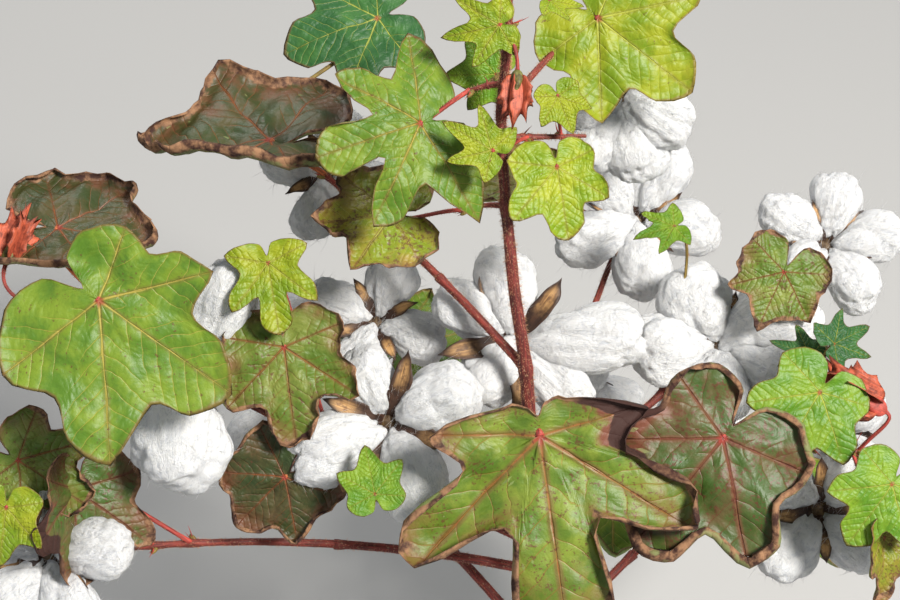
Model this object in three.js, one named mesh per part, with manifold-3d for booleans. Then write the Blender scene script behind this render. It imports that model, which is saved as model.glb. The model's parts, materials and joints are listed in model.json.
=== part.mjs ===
// Cotton plant at boll opening, rooted, its main stem cut flat at the ground. Millimetres, Z up.
// The origin is on the cut. The sunny side of the crown faces -Y.
import * as THREE from 'three';
import Module from 'manifold-3d';
import { mergeVertices } from 'three/addons/utils/BufferGeometryUtils.js';

const wasm = await Module();
wasm.setup();

// Clearances and the fineness of the facets
const GAP = 0.4;
const STEM_SIDES = 8;
const BOUGH_SIDES = 5;
const TWIG_SIDES = 4;
const STALK_SIDES = 3;
const LOCK_SIDES = 6;
const LOCK_BANDS = 3;
const EASE = 0.12;
const BUR_CUP = 9;
const BUR_TOP = 5;
const BUR_DEPTH = 8;
const BUR_RISE = 0.34;

// Main stem: stations as across, back and height, with the radius at foot and tip and the root flare
const STEM_STATIONS = [
  [0, 0, 0], [0, 0, 45], [4, 8, 150], [9, 22, 285], [6, 50, 415], [-4, 80, 490], [-10, 109, 555], [-8, 124, 592],
];
const STEM_FOOT_RADIUS = 6.4;
const STEM_TIP_RADIUS = 2.2;
const FLARE_EXTRA = 3.6;
const FLARE_HEIGHT = 16;
const STEM_BANDS = 20;

// The sunny face: a plane that slopes up and back through the crown, with the point it is judged from
const FACE_MIDDLE = [-35, 69, 479];
const FACE_SLOPE = 45;
const FACE_EYE = 900;
const FACE_HALF_WIDTH = 232;
const FACE_HALF_HEIGHT = 158;
const FACE_DEPTH = -78;

// Leaf forms: length and angle of the side and basal lobes, depth of the bays between lobes, the notch
// where the stalk comes in, and how full the outline is between the basal lobe and the notch
const FORMS = {
  broad: { side: 0.88, sideAngle: 50, basal: 0.62, basalAngle: 106, bay: 0.68, notch: 0.12, heel: 1 },
  star: { side: 0.96, sideAngle: 48, basal: 0.98, basalAngle: 106, bay: 0.64, notch: 0.12, heel: 1 },
  split: { side: 0.84, sideAngle: 44, basal: 0.6, basalAngle: 108, bay: 0.52, notch: 0.1, heel: 0.8 },
  round: { side: 0.94, sideAngle: 52, basal: 0.8, basalAngle: 112, bay: 0.8, notch: 0.12, heel: 1.1 },
  wide: { side: 0.88, sideAngle: 50, basal: 0.52, basalAngle: 98, bay: 0.5, notch: 0.1, heel: 0.5 },
  oval: { side: 0.97, sideAngle: 48, basal: 1, basalAngle: 106, bay: 0.5, notch: 0.12, heel: 0.72 },
};
const LEAF_THICKNESS = 0.0135;
const MID_RING = 0.42;
const CURL_START = 0.68;

// Fruiting shoots in order up the stem: height of the root on the stem, tip, arch, root radius, the share of
// the length that is bare bough, and how many further leaves and bolls the growth rule sets along it
const SHOOTS = [
  { name: 'low_back', height: 146, tip: [34, 232, 236], arch: 16, radius: 3, bough: 0.34, leaves: 4, bolls: 2 },
  { name: 'low_front_right', height: 172, tip: [152, -150, 222], arch: 22, radius: 3, bough: 0.34, leaves: 4, bolls: 2 },
  { name: 'low_front_left', height: 200, tip: [-142, -150, 240], arch: 24, radius: 3, bough: 0.34, leaves: 4, bolls: 2 },
  { name: 'low_back_right', height: 230, tip: [195, 172, 290], arch: 22, radius: 2.9, bough: 0.34, leaves: 4, bolls: 2 },
  { name: 'low_back_left', height: 262, tip: [-182, 190, 312], arch: 24, radius: 2.9, bough: 0.34, leaves: 4, bolls: 2 },
  { name: 'left_low', height: 312, tip: onFace(-196, -128, -40), arch: 18, radius: 2.8, bough: 0.42, leaves: 2, bolls: 0 },
  { name: 'left_mid', height: 332, tip: onFace(-164, -18, -18), arch: -4, radius: 2.8, bough: 0.34, leaves: 1, bolls: 0 },
  { name: 'right_back', height: 350, tip: onFace(186, 16, -132), arch: 10, radius: 2.7, bough: 0.3, leaves: 2, bolls: 0 },
  { name: 'front', height: 362, tip: [34, -165, 322], arch: 8, radius: 2.6, bough: 0.2, leaves: 3, bolls: 1 },
  { name: 'back', height: 372, tip: onFace(90, 44, -165), arch: 4, radius: 2.6, bough: 0.2, leaves: 3, bolls: 0 },
  { name: 'front_left', height: 390, tip: onFace(-85, -60, -57), arch: 3, radius: 2.5, bough: 0.28, leaves: 2, bolls: 0 },
  { name: 'front_right', height: 402, tip: onFace(204, -76, -14), arch: 8, radius: 2.6, bough: 0.34, leaves: 1, bolls: 0 },
  { name: 'back_left', height: 440, tip: onFace(-98, 88, -98), arch: 12, radius: 2.4, bough: 0.3, leaves: 3, bolls: 0 },
  { name: 'mid_left', height: 520, tip: onFace(8, 45, 0), arch: 2, radius: 1.7, bough: 0, leaves: 0, bolls: 0 },
  { name: 'high_mid', height: 552, tip: onFace(68, 82, 14), arch: 0, radius: 1.9, bough: 0, leaves: 0, bolls: 0 },
  { name: 'high_right', height: 564, tip: onFace(66, 138, -8), arch: 2, radius: 2.1, bough: 0, leaves: 0, bolls: 0 },
  { name: 'high_left', height: 577, tip: onFace(8, 104, 30), arch: 1, radius: 1.9, bough: 0, leaves: 0, bolls: 0 },
  { name: 'top', height: 592, tip: [-6, 141, 632], arch: 1, radius: 2.1, bough: 0, leaves: 0, bolls: 0 },
];

// Leaves of the sunny face: shoot, place of the stalk along it, junction on the face (across, up, out),
// length of the middle lobe, turn of the midrib from uphill, lean of the blade, form, droop, fold and curl
const FACE_LEAVES = [
  leafRow('high_left', 0.9, [-15, 88.5, 34], 53, 251, [0.28, 0.12], 'oval', 0.26, 0.0, 0.1, -0.08),
  leafRow('high_left', 0.42, [23, 113, 12], 26, 268, [0, -0.2], 'broad', 0.15, 0.1, 0),
  leafRow('high_right', 1, [74, 141, 14], 60, 128, [-0.1, -0.1], 'broad', 0.14, 0.05, 0.1),
  leafRow('high_mid', 0.24, [53.5, 66.5, 27], 37, 170, [0.1, 0.05], 'broad', 0.1, 0.06, 0.1, 0.1),
  leafRow('high_mid', 0.32, [21, 75, 46], 27, 300, [0.1, -0.1], 'split', 0.2, 0.1, 0),
  leafRow('high_mid', 0.7, [54, 102, 30], 20, 160, [0.1, 0.2], 'broad', 0.1, 0.1, 0),
  leafRow('top', 0.35, [24.5, 137.5, 52], 29, 256, [0, -0.25], 'split', 0.2, 0.12, 0.1),
  leafRow('top', 0.7, [38, 158, 48], 22, 20, [0.1, 0.5], 'split', 0.15, 0.3, 0),
  leafRow('top', 0.9, [50, 150, 54], 17, 95, [0.2, 0.3], 'split', 0.15, 0.3, 0),
  leafRow('mid_left', 1, [-29, 42, -10], 44, 262, [0.1, 0.6], 'round', 0.1, 0.05, 0.35),
  leafRow('left_mid', 1, [-175.5, 0, 60], 76, 126, [0, 0], 'broad', 0.08, 0.06, 0.05, 0.22),
  leafRow('left_mid', 0.5, [-91, 18.5, 18], 36, 171, [0, 0.1], 'split', 0.1, 0.12, 0),
  leafRow('left_mid', 0.94, [-196, 36, -18], 62, 98, [0, 1.3], 'round', 0.2, 0.25, 0.5),
  leafRow('front_left', 0.86, [-83, -23.5, 5], 56, 173, [0, 0.05], 'broad', 0.12, 0.1, 0.35),
  leafRow('front_left', 1, [-82.5, -88.5, -14], 46, 222, [0, -0.25], 'round', 0.15, 0.1, 0.6),
  leafRow('front_left', 0.5, [-37.5, -97, 12], 25, 348, [0, 0.2], 'broad', 0.1, 0.1, 0),
  leafRow('front', 0.3, [45, -68, 36], 115, 172, [0, -0.08], 'wide', 0.06, -0.04, 0.42),
  leafRow('front_right', 0.62, [136.5, -69, 22], 90, 219, [0, 0], 'broad', 0.1, 0.02, 0.95, -0.08),
  leafRow('front_right', 0.86, [185, -46, 14], 43, 212, [0.1, 0.1], 'broad', 0.14, 0.06, 0),
  leafRow('front_right', 0.95, [192, -22, -12], 25, 62, [0.2, 0.3], 'split', 0.2, 0.15, 0),
  leafRow('front_right', 0.74, [180, -28, -22], 22, 298, [0, 0.4], 'split', 0.2, 0.2, 0),
  leafRow('front_right', 1, [221, -92, 22], 37, 214, [0.1, 0], 'broad', 0.15, 0.08, 0),
  leafRow('front_right', 0.98, [217, -119, 8], 34, 186, [0.7, 0], 'broad', 0.1, 0.6, 0.2),
  leafRow('right_back', 0.62, [167, 14, -58], 34, 205, [0, 0.1], 'round', 0.12, 0.06, 0.2),
  leafRow('right_back', 0.45, [112, 37, -52], 23, 250, [0, 0.5], 'split', 0.1, 0.1, 0),
  leafRow('back_left', 0.72, [-90, 80, -36], 82, 284, [0, 1.9], 'round', 0.14, 0.3, 0.4),
  leafRow('back_left', 1, [-36, 141, -110], 56, 250, [0, 0.3], 'broad', 0.12, 0.05, 0),
  leafRow('left_low', 0.8, [-216, -80, 4], 48, 125, [0, 0], 'broad', 0.2, 0.05, 0.3),
  leafRow('left_low', 0.72, [-186, -95, -6], 54, 180, [1.1, 0], 'broad', 0.1, 0.5, 0.2),
  leafRow('left_low', 1, [-222, -104, 24], 30, 188, [0, 0], 'broad', 0.1, 0.1, 0),
];

// Open bolls of the sunny face: shoot, place of the stalk, middle of the bur on the face, lean of the axis,
// then each lock's turn, reach, length and width, or a count, a first turn and a length for an even boll
const FACE_BOLLS = [
  bollRow('back', 0.3, [31.5, -20.5, -60], [0, 0.1],
    [[303, 27, 42, 27], [353, 27, 47, 31], [91, 38, 56, 34], [136, 31, 38, 28], [212, 19, 40, 31]], 42),
  bollRow('front_left', 0.5, [-30.5, -61, -30], [0, 0.05],
    [[333, 24, 38, 28], [65, 28, 44, 34], [158, 29, 48, 35], [246, 30, 48, 34]], 39),
  bollRow('left_mid', 0.62, [-131, -36, -12], [-0.1, 0.1],
    [[30, 35, 52, 32], [180, 33, 50, 44], [285, 26, 40, 32], [330, 26, 38, 28]], 30),
  bollRow('front_left', 0.7, [-37, -12, -90], [0, 0.3], evenLocks(4, 20, 36), 28),
  bollRow('left_low', 0.93, [-200, -128, -22], [-0.1, 0], evenLocks(5, 8, 40), 30),
  bollRow('right_back', 0.44, [134, -24, -88], [0, 0.2],
    [[266, 28, 42, 36], [335, 25, 44, 36], [62, 32, 52, 40], [118, 30, 44, 34], [190, 24, 42, 38]], 32),
  bollRow('back', 1, [92.5, 39, -137], [0, 0.2], evenLocks(5, 30, 42), 30),
  bollRow('high_right', 0.85, [84, 100, -42], [0.1, -0.7],
    [[205, 20, 38, 32], [158, 25, 42, 34], [108, 22, 40, 32], [258, 15, 28, 24]], 24),
  bollRow('right_back', 0.95, [188, 27, -128], [0.1, 0.3], evenLocks(5, 12, 38), 28),
  bollRow('front_right', 0.8, [183, -104, -44], [0.1, -0.1], evenLocks(4, 40, 38), 30),
  bollRow('back_left', 0.58, [-60, 62, -92], [0, 0.2], evenLocks(4, 15, 34), 28),
];

// Squares and withered flowers in their fringed bracts: shoot, place, middle on the face, turn, lean and length
const FACE_SQUARES = [
  { shoot: 'front_right', at: 1, face: [207, -50, 0], turn: 300, lean: [0, 0.2], length: 30 },
  { shoot: 'top', at: 0.3, face: [33, 107, 52], turn: 185, lean: [0, 0.1], length: 19 },
  { shoot: 'left_mid', at: 0.9, face: [-219, 26, 2], turn: 20, lean: [0, 0.1], length: 22 },
];

// Growth rule for the rest of the crown
const RULE_SEED = 20817;
const RULE_TRIES = 9;
const RULE_LEAF_SIZE = [56, 80];
const RULE_STALK = [42, 72];
const RULE_LOCK = [32, 38];
const RULE_PEDUNCLE = 22;
const GROUND_CLEAR = 45;

// Plain vector steps
const UP = [0, 0, 1];
const add = (a, b) => [a[0] + b[0], a[1] + b[1], a[2] + b[2]];
const sub = (a, b) => [a[0] - b[0], a[1] - b[1], a[2] - b[2]];
const scale = (a, k) => [a[0] * k, a[1] * k, a[2] * k];
const dot = (a, b) => a[0] * b[0] + a[1] * b[1] + a[2] * b[2];
const cross = (a, b) => [a[1] * b[2] - a[2] * b[1], a[2] * b[0] - a[0] * b[2], a[0] * b[1] - a[1] * b[0]];
const size = (a) => Math.sqrt(dot(a, a));
const unit = (a) => scale(a, 1 / size(a));
const mix = (a, b, k) => add(scale(a, 1 - k), scale(b, k));
const radians = (degrees) => (degrees * Math.PI) / 180;

// Seeded dice that give the same throws wherever the rule is worked out
function dice(seed) {
  let state = seed;
  return (low, high) => {
    state = (state * 16807) % 2147483647;
    return low + ((high - low) * state) / 2147483647;
  };
}

function leafRow(shoot, at, face, length, turn, lean, form, droop, fold, curl, skew = 0) {
  return { shoot, at, face, length, turn, lean, form, droop, fold, curl, skew };
}

function bollRow(shoot, at, face, lean, locks, bur) {
  return { shoot, at, face, lean, locks, bur };
}

function evenLocks(count, firstTurn, length) {
  return Array.from({ length: count }, (_, i) => [
    firstTurn + (360 * i) / count, length * 0.64, length * (1 + 0.12 * ((i * 7) % 3 - 1)), length * 0.74,
  ]);
}

// The face's own axes: across, uphill and out of it
function faceAxes() {
  const slope = (FACE_SLOPE * Math.PI) / 180;
  return [[1, 0, 0], [0, Math.sin(slope), Math.cos(slope)], [0, -Math.cos(slope), Math.sin(slope)]];
}

// A point given across, up and out of the face, as it is judged from the eye point
function onFace(across, up, out) {
  const [right, uphill, outward] = faceAxes();
  const shrink = 1 - out / FACE_EYE;
  return FACE_MIDDLE.map((start, i) => (
    start + right[i] * across * shrink + uphill[i] * up * shrink + outward[i] * out
  ));
}

// Where a point lies on the face: across, up and out
function faceOf(point) {
  const [right, uphill, outward] = faceAxes();
  const offset = sub(point, FACE_MIDDLE);
  const out = dot(offset, outward);
  const shrink = 1 - out / FACE_EYE;
  return [dot(offset, right) / shrink, dot(offset, uphill) / shrink, out];
}

// Blade or boll frame on the face: side, midrib and normal for a turn from uphill and a lean
function faceFrame(turn, lean) {
  const [right, uphill, outward] = faceAxes();
  const normal = unit(add(add(scale(right, lean[0]), scale(uphill, lean[1])), outward));
  const aim = add(scale(right, Math.sin(radians(turn))), scale(uphill, Math.cos(radians(turn))));
  const midrib = unit(sub(aim, scale(normal, dot(aim, normal))));
  return { midrib, normal, side: cross(midrib, normal) };
}

// Main stem: an even curve through its stations, its radius law, and the share of the curve at a height
function stemPoint(t) {
  const last = STEM_STATIONS.length - 1;
  const place = Math.min(Math.max(t, 0), 1) * last;
  const i = Math.min(Math.floor(place), last - 1);
  const k = place - i;
  const p1 = STEM_STATIONS[i];
  const p2 = STEM_STATIONS[i + 1];
  const p0 = i > 0 ? STEM_STATIONS[i - 1] : sub(scale(p1, 2), p2);
  const p3 = i < last - 1 ? STEM_STATIONS[i + 2] : sub(scale(p2, 2), p1);
  return [0, 1, 2].map((j) => {
    const a = 2 * p1[j];
    const b = p2[j] - p0[j];
    const c = 2 * p0[j] - 5 * p1[j] + 4 * p2[j] - p3[j];
    const d = 3 * p1[j] - p0[j] - 3 * p2[j] + p3[j];
    return 0.5 * (a + b * k + c * k * k + d * k * k * k);
  });
}

function stemRadius(height) {
  const share = Math.min(Math.max(height / STEM_STATIONS[STEM_STATIONS.length - 1][2], 0), 1);
  const taper = STEM_FOOT_RADIUS + (STEM_TIP_RADIUS - STEM_FOOT_RADIUS) * share;
  return taper + FLARE_EXTRA * Math.exp(-height / FLARE_HEIGHT);
}

function stemShareAt(height) {
  let low = 0;
  let high = 1;
  for (let i = 0; i < 40; i += 1) {
    const middle = (low + high) / 2;
    if (stemPoint(middle)[2] < height) low = middle;
    else high = middle;
  }
  return (low + high) / 2;
}

// A shoot's line: from the stem's middle out to its tip, arched
function shootLine(shoot) {
  const root = stemPoint(stemShareAt(shoot.height));
  const belly = add(mix(root, shoot.tip, 0.5), scale(UP, 2 * shoot.arch));
  return (t) => add(add(scale(root, (1 - t) * (1 - t)), scale(belly, 2 * t * (1 - t))), scale(shoot.tip, t * t));
}

function shootRadius(shoot, t) {
  return shoot.radius * (1 - 0.52 * t);
}

// A stalk's line: leaves its twig, then comes to the blade or bur from behind
function stalkLine(start, end, arrival) {
  const length = size(sub(end, start));
  const first = add(mix(start, end, 0.35), scale(UP, 0.06 * length));
  const second = sub(end, scale(arrival, 0.3 * length));
  return (t) => {
    const s = 1 - t;
    const near = add(scale(start, s * s * s), scale(first, 3 * s * s * t));
    return add(near, add(scale(second, 3 * s * t * t), scale(end, t * t * t)));
  };
}

function leafStalk(leaf) {
  const arrival = unit(add(scale(leaf.midrib, 0.7), scale(leaf.normal, 0.7)));
  return stalkLine(leaf.start, leaf.junction, arrival);
}

function bollStalk(boll) {
  return stalkLine(boll.start, sub(boll.middle, scale(boll.normal, 7)), boll.normal);
}

// Outline of a blade, from the tip of the middle lobe round by the side, as turn and reach
function outlineRows(form, fine) {
  const f = FORMS[form];
  const firstBay = f.sideAngle * 0.56;
  const secondBay = (f.sideAngle + f.basalAngle) / 2;
  const rows = [
    [0, 1], [firstBay, f.bay * 0.95], [f.sideAngle, f.side],
    [secondBay, f.bay * 0.5 * (f.side + f.basal) + 0.04], [f.basalAngle, f.basal],
    [138, f.basal * 0.84 * f.heel], [164, f.basal * 0.58 * f.heel], [180, f.notch],
  ];
  if (fine) {
    rows.splice(3, 0, [f.sideAngle * 1.32, f.side * 0.84]);
    rows.splice(1, 0, [firstBay * 0.6, 0.86]);
  }
  return rows;
}

// The whole outline in the blade's own plane, side by midrib, for a middle lobe of length 1
function outlinePoints(leaf) {
  const rows = outlineRows(leaf.form, leaf.fine);
  const right = rows.map(([turn, reach]) => [turn, reach * (1 + leaf.skew * Math.sin(radians(turn)))]);
  const left = rows.slice(1, -1).reverse();
  const back = left.map(([turn, reach]) => [-turn, reach * (1 - leaf.skew * Math.sin(radians(turn)))]);
  return [...right, ...back].map(([turn, reach]) => [
    reach * Math.sin(radians(turn)), reach * Math.cos(radians(turn)),
  ]);
}

// A blade's surface: outline point shrunk to a share, drooped, folded on the midrib, waved and curled at the rim
function bladePoint(leaf, flat, share) {
  const rim = Math.max(0, (share - CURL_START) / (1 - CURL_START));
  const tuck = share * (1 - 0.3 * Math.abs(leaf.curl) * rim * rim);
  const x = flat[0] * tuck;
  const y = flat[1] * tuck;
  const reach = x * x + y * y;
  const turn = Math.atan2(x, y);
  const fold = leaf.fold * (Math.sqrt(x * x + 0.0036) - 0.06);
  const wave = 0.05 * reach * Math.sin(3 * turn + leaf.phase);
  const roll = 0.24 * leaf.curl * rim * rim * Math.sqrt(reach);
  const lift = fold + wave + roll - leaf.droop * reach;
  const across = scale(leaf.side, x * leaf.length);
  const along = scale(leaf.midrib, y * leaf.length);
  return add(add(leaf.junction, across), add(along, scale(leaf.normal, lift * leaf.length)));
}

// Spots that stand for an organ when room is looked for: each a point and a radius
function leafSpots(leaf) {
  const outline = outlinePoints(leaf);
  const radius = 0.09 * leaf.length + 1;
  const rings = [0.4, 0.72, 1].flatMap((share) => outline.map((flat) => bladePoint(leaf, flat, share)));
  const line = leafStalk(leaf);
  const stalk = [0.35, 0.5, 0.65, 0.8].map((t) => ({ point: line(t), radius: 2.5 }));
  return [...rings.map((point) => ({ point, radius })), { point: leaf.junction, radius }, ...stalk];
}

function bollSpots(boll) {
  const line = bollStalk(boll);
  const locks = boll.locks.map((lock) => {
    const frame = lockFrame(boll, lock);
    return { point: frame.middle, radius: 0.46 * (frame.half[0] + frame.half[1]) + 2 };
  });
  return [...locks, { point: boll.middle, radius: 12 }, { point: line(0.6), radius: 3 }];
}

function shootSpots(shoot) {
  const line = shootLine(shoot);
  return Array.from({ length: 16 }, (_, i) => ({ point: line((i + 1) / 16), radius: 4 }));
}

function stemSpots() {
  return Array.from({ length: 60 }, (_, i) => ({ point: stemPoint(i / 59), radius: 8 }));
}

function hasRoom(spots, taken, own) {
  return spots.every((a) => taken.every((b) => (
    b.owner === own || size(sub(a.point, b.point)) >= a.radius + b.radius
  )));
}

// Whether a point stands over the sunny face or too near the ground
function isBarred(point) {
  const [across, up, out] = faceOf(point);
  const overFace = Math.abs(across) < FACE_HALF_WIDTH && Math.abs(up) < FACE_HALF_HEIGHT && out > FACE_DEPTH;
  return overFace || point[2] < GROUND_CLEAR;
}

// One lock of fluff: its middle, its three axes and half sizes
function lockFrame(boll, lock) {
  const [turn, reach, length, width] = lock;
  const flat = add(scale(boll.side, Math.sin(radians(turn))), scale(boll.midrib, Math.cos(radians(turn))));
  const along = unit(add(flat, scale(boll.normal, 0.3)));
  const across = unit(cross(boll.normal, along));
  const half = [Math.max(length / 2, reach - 5), width / 2, width * 0.44];
  return { middle: add(boll.middle, scale(along, reach)), along, across, out: cross(across, along), half };
}

// Organs of the sunny face, worked out in plant coordinates
function faceLeaf(row, index) {
  const shoot = SHOOTS.find((s) => s.name === row.shoot);
  const start = shootLine(shoot)(row.at);
  const junction = onFace(...row.face);
  return { ...row, ...faceFrame(row.turn, row.lean), start, junction, phase: index * 1.7, fine: row.length > 30 };
}

function faceBoll(row) {
  const shoot = SHOOTS.find((s) => s.name === row.shoot);
  return { ...row, ...faceFrame(0, row.lean), start: shootLine(shoot)(row.at), middle: onFace(...row.face) };
}

// One try of the rule for a leaf at a place on a shoot: stalk out to one side and up, blade out and over
function ruleLeaf(shoot, at, hand, roll) {
  const line = shootLine(shoot);
  const start = line(at);
  const ahead = unit(sub(line(Math.min(at + 0.02, 1)), line(at - 0.02)));
  const sideways = scale(unit(cross(ahead, UP)), hand);
  const swing = radians(roll(15, 85));
  const level = add(scale(ahead, Math.cos(swing)), scale(sideways, Math.sin(swing)));
  const rise = roll(0.05, 0.9);
  const aim = unit(add([level[0], level[1], 0], scale(UP, rise)));
  const junction = add(start, scale(aim, roll(...RULE_STALK)));
  const outward = unit([aim[0], aim[1], 0]);
  const normal = unit(add(scale(UP, 1), add(scale(outward, roll(0.1, 0.8)), [roll(-0.3, 0.3), roll(-0.45, 0.1), 0])));
  const tipAim = add(outward, scale(UP, roll(-0.7, 0)));
  const midrib = unit(sub(tipAim, scale(normal, dot(tipAim, normal))));
  const forms = ['broad', 'broad', 'star', 'round'];
  return {
    shoot: shoot.name, at, start, junction, normal, midrib, side: cross(midrib, normal),
    length: roll(...RULE_LEAF_SIZE) * (1.08 - 0.3 * at), form: forms[Math.floor(roll(0, 3.999))],
    droop: roll(0.08, 0.26), fold: roll(0, 0.14), curl: roll(-0.15, 0.55), skew: roll(-0.1, 0.1),
    phase: roll(0, 6), fine: false,
  };
}

// One try of the rule for an open boll on the far side of the same place
function ruleBoll(shoot, at, hand, roll) {
  const line = shootLine(shoot);
  const start = line(at);
  const ahead = unit(sub(line(Math.min(at + 0.02, 1)), line(at - 0.02)));
  const sideways = scale(unit(cross(ahead, UP)), -hand);
  const swing = radians(roll(10, 80));
  const level = add(scale(ahead, Math.cos(swing)), scale(sideways, Math.sin(swing)));
  const normal = unit(add([level[0], level[1], 0], scale(UP, roll(-0.5, 0.7))));
  const length = roll(...RULE_LOCK);
  const middle = add(start, scale(normal, RULE_PEDUNCLE + roll(0, 14)));
  const midrib = unit(sub(UP, scale(normal, normal[2])));
  const count = roll(0, 1) < 0.6 ? 4 : 5;
  return {
    shoot: shoot.name, at, start, middle, normal, midrib, side: cross(midrib, normal),
    locks: evenLocks(count, roll(0, 90), length), bur: 27,
  };
}

// The rule fills every shoot in turn with the leaves and bolls that find room
function growByRule(taken) {
  const roll = dice(RULE_SEED);
  const grown = { leaves: [], bolls: [] };
  const settle = (makeOne, spotsOf, list, shoot, at, hand) => {
    for (let attempt = 0; attempt < RULE_TRIES; attempt += 1) {
      const organ = makeOne(shoot, at, attempt % 2 ? -hand : hand, roll);
      const spots = spotsOf(organ);
      const open = spots.every((spot) => !isBarred(spot.point));
      const own = `${shoot.name} line`;
      if (open && hasRoom(spots.filter((spot) => size(sub(spot.point, organ.start)) > 12), taken, own)) {
        list.push(organ);
        taken.push(...spots.map((spot) => ({ ...spot, owner: `${shoot.name} organ` })));
        return;
      }
    }
  };
  for (const shoot of SHOOTS) {
    for (let i = 0; i < shoot.bolls; i += 1) {
      const at = shoot.bough + 0.1 + ((0.86 - shoot.bough) * (i + 0.7)) / shoot.bolls;
      settle(ruleBoll, bollSpots, grown.bolls, shoot, Math.min(at, 1), i % 2 ? -1 : 1);
    }
    for (let i = 0; i < shoot.leaves; i += 1) {
      const at = shoot.bough + 0.06 + ((0.94 - shoot.bough) * (i + 0.6)) / shoot.leaves;
      settle(ruleLeaf, leafSpots, grown.leaves, shoot, Math.min(at, 1), i % 2 ? -1 : 1);
    }
  }
  return grown;
}

// The whole plan: every leaf, boll and square with its place
function planPlant() {
  const leaves = FACE_LEAVES.map(faceLeaf);
  const bolls = FACE_BOLLS.map(faceBoll);
  const squares = FACE_SQUARES.map((row) => faceBoll({ ...row, locks: [] }));
  squares.forEach((square) => Object.assign(square, squareFrame(square)));
  const taken = [...stemSpots().map((spot) => ({ ...spot, owner: 'stem' }))];
  for (const shoot of SHOOTS) taken.push(...shootSpots(shoot).map((s) => ({ ...s, owner: `${shoot.name} line` })));
  for (const leaf of leaves) taken.push(...leafSpots(leaf).map((s) => ({ ...s, owner: 'face' })));
  for (const boll of bolls) taken.push(...bollSpots(boll).map((s) => ({ ...s, owner: 'face' })));
  const grown = growByRule(taken);
  return { leaves: [...leaves, ...grown.leaves], bolls: [...bolls, ...grown.bolls], squares };
}

// A square points along its turn, so its axis lies in the face
function squareFrame(square) {
  const frame = faceFrame(square.turn, square.lean);
  return { normal: frame.midrib, midrib: frame.normal, side: cross(frame.normal, frame.midrib) };
}

// Solids: a three.js shape with its joins merged and its empty triangles dropped
function toSolid(geometry) {
  geometry.deleteAttribute('normal');
  geometry.deleteAttribute('uv');
  const merged = mergeVertices(geometry, 1e-4);
  const index = merged.index.array;
  const kept = [];
  for (let i = 0; i < index.length; i += 3) {
    const [a, b, c] = [index[i], index[i + 1], index[i + 2]];
    if (a !== b && b !== c && c !== a) kept.push(a, b, c);
  }
  const vertProperties = new Float32Array(merged.attributes.position.array);
  const solid = new wasm.Manifold(new wasm.Mesh({ numProp: 3, vertProperties, triVerts: new Uint32Array(kept) }));
  if (solid.volume() < 0) throw new Error('a solid is inside out');
  return solid;
}

// Moves every vertex of a shape by a rule
function reshape(geometry, rule) {
  const position = geometry.attributes.position;
  for (let i = 0; i < position.count; i += 1) {
    position.setXYZ(i, ...rule([position.getX(i), position.getY(i), position.getZ(i)]));
  }
  return geometry;
}

// A tapering limb: a cylinder bent along a line, its sections square to the line
function limbSolid(line, from, to, radiusAt, sides, bands, firstAxis = null) {
  const geometry = new THREE.CylinderGeometry(1, 1, 1, sides, bands);
  geometry.rotateX(Math.PI / 2);
  const alongAt = (t) => unit(sub(line(Math.min(t + 0.002, 1)), line(Math.max(t - 0.002, 0))));
  const sections = [];
  let across = null;
  for (let i = 0; i <= bands; i += 1) {
    const t = from + ((to - from) * i) / bands;
    const along = i === 0 && firstAxis ? firstAxis : alongAt(t);
    if (across) across = unit(sub(across, scale(along, dot(across, along))));
    else across = unit(cross(along, Math.abs(along[2]) > 0.9 ? [1, 0, 0] : UP));
    sections.push({ middle: line(t), across, other: cross(along, across), radius: radiusAt(t) });
  }
  reshape(geometry, ([x, y, z]) => {
    const section = sections[Math.round((z + 0.5) * bands)];
    const offset = add(scale(section.across, x * section.radius), scale(section.other, y * section.radius));
    return add(section.middle, offset);
  });
  return toSolid(geometry);
}

// The main stem, with a flat level foot, and a fatter copy that limbs are cut clear of
function stemSolid(extra) {
  return limbSolid(stemPoint, 0, 1, (t) => stemRadius(stemPoint(t)[2]) + extra, STEM_SIDES, STEM_BANDS, UP);
}

// A lens turned on its axis, both halves cut into the same triangles, each cut from the nearer rim point
function lensShape(profile, outline) {
  const sides = outline.length;
  const lens = new THREE.LatheGeometry(profile.map((p) => new THREE.Vector2(...p)), sides);
  const rows = profile.length;
  const index = [];
  for (let i = 0; i < sides; i += 1) {
    const fromFirst = Math.hypot(...outline[i]) < Math.hypot(...outline[(i + 1) % sides]);
    for (let j = 0; j < rows - 1; j += 1) {
      const [a, b] = [i * rows + j, (i + 1) * rows + j];
      const isUpper = j < (rows - 1) / 2;
      if (isUpper === fromFirst) index.push(a, b, a + 1, b + 1, a + 1, b);
      else index.push(a, b, b + 1, a, b + 1, a + 1);
    }
  }
  lens.setIndex(index);
  return lens;
}

// A blade: a lens whose rings are moved on to the blade's surface, the inner ring's points in pairs
function bladeSolid(leaf) {
  const outline = outlinePoints(leaf);
  const half = LEAF_THICKNESS / 2;
  const profile = [[0, half], [MID_RING, half], [1, 0], [MID_RING, -half], [0, -half]];
  const turned = reshape(lensShape(profile, outline), ([x, height, z]) => {
    const share = Math.hypot(x, z);
    const steps = Math.round((Math.atan2(x, z) / (2 * Math.PI)) * outline.length) + outline.length;
    const paired = share < 0.9 ? steps + 1 - (steps % 2) : steps;
    const flat = outline[paired % outline.length];
    const point = bladePoint(leaf, flat, share);
    return add(point, scale(leaf.normal, height * leaf.length));
  });
  return toSolid(turned);
}

function leafSolid(leaf) {
  const line = leafStalk(leaf);
  const thick = 0.75 + 0.011 * leaf.length;
  const stalk = limbSolid(line, 0, 1, (t) => thick * (1 - 0.25 * t), STALK_SIDES, 2);
  return bladeSolid(leaf).add(stalk);
}

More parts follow.
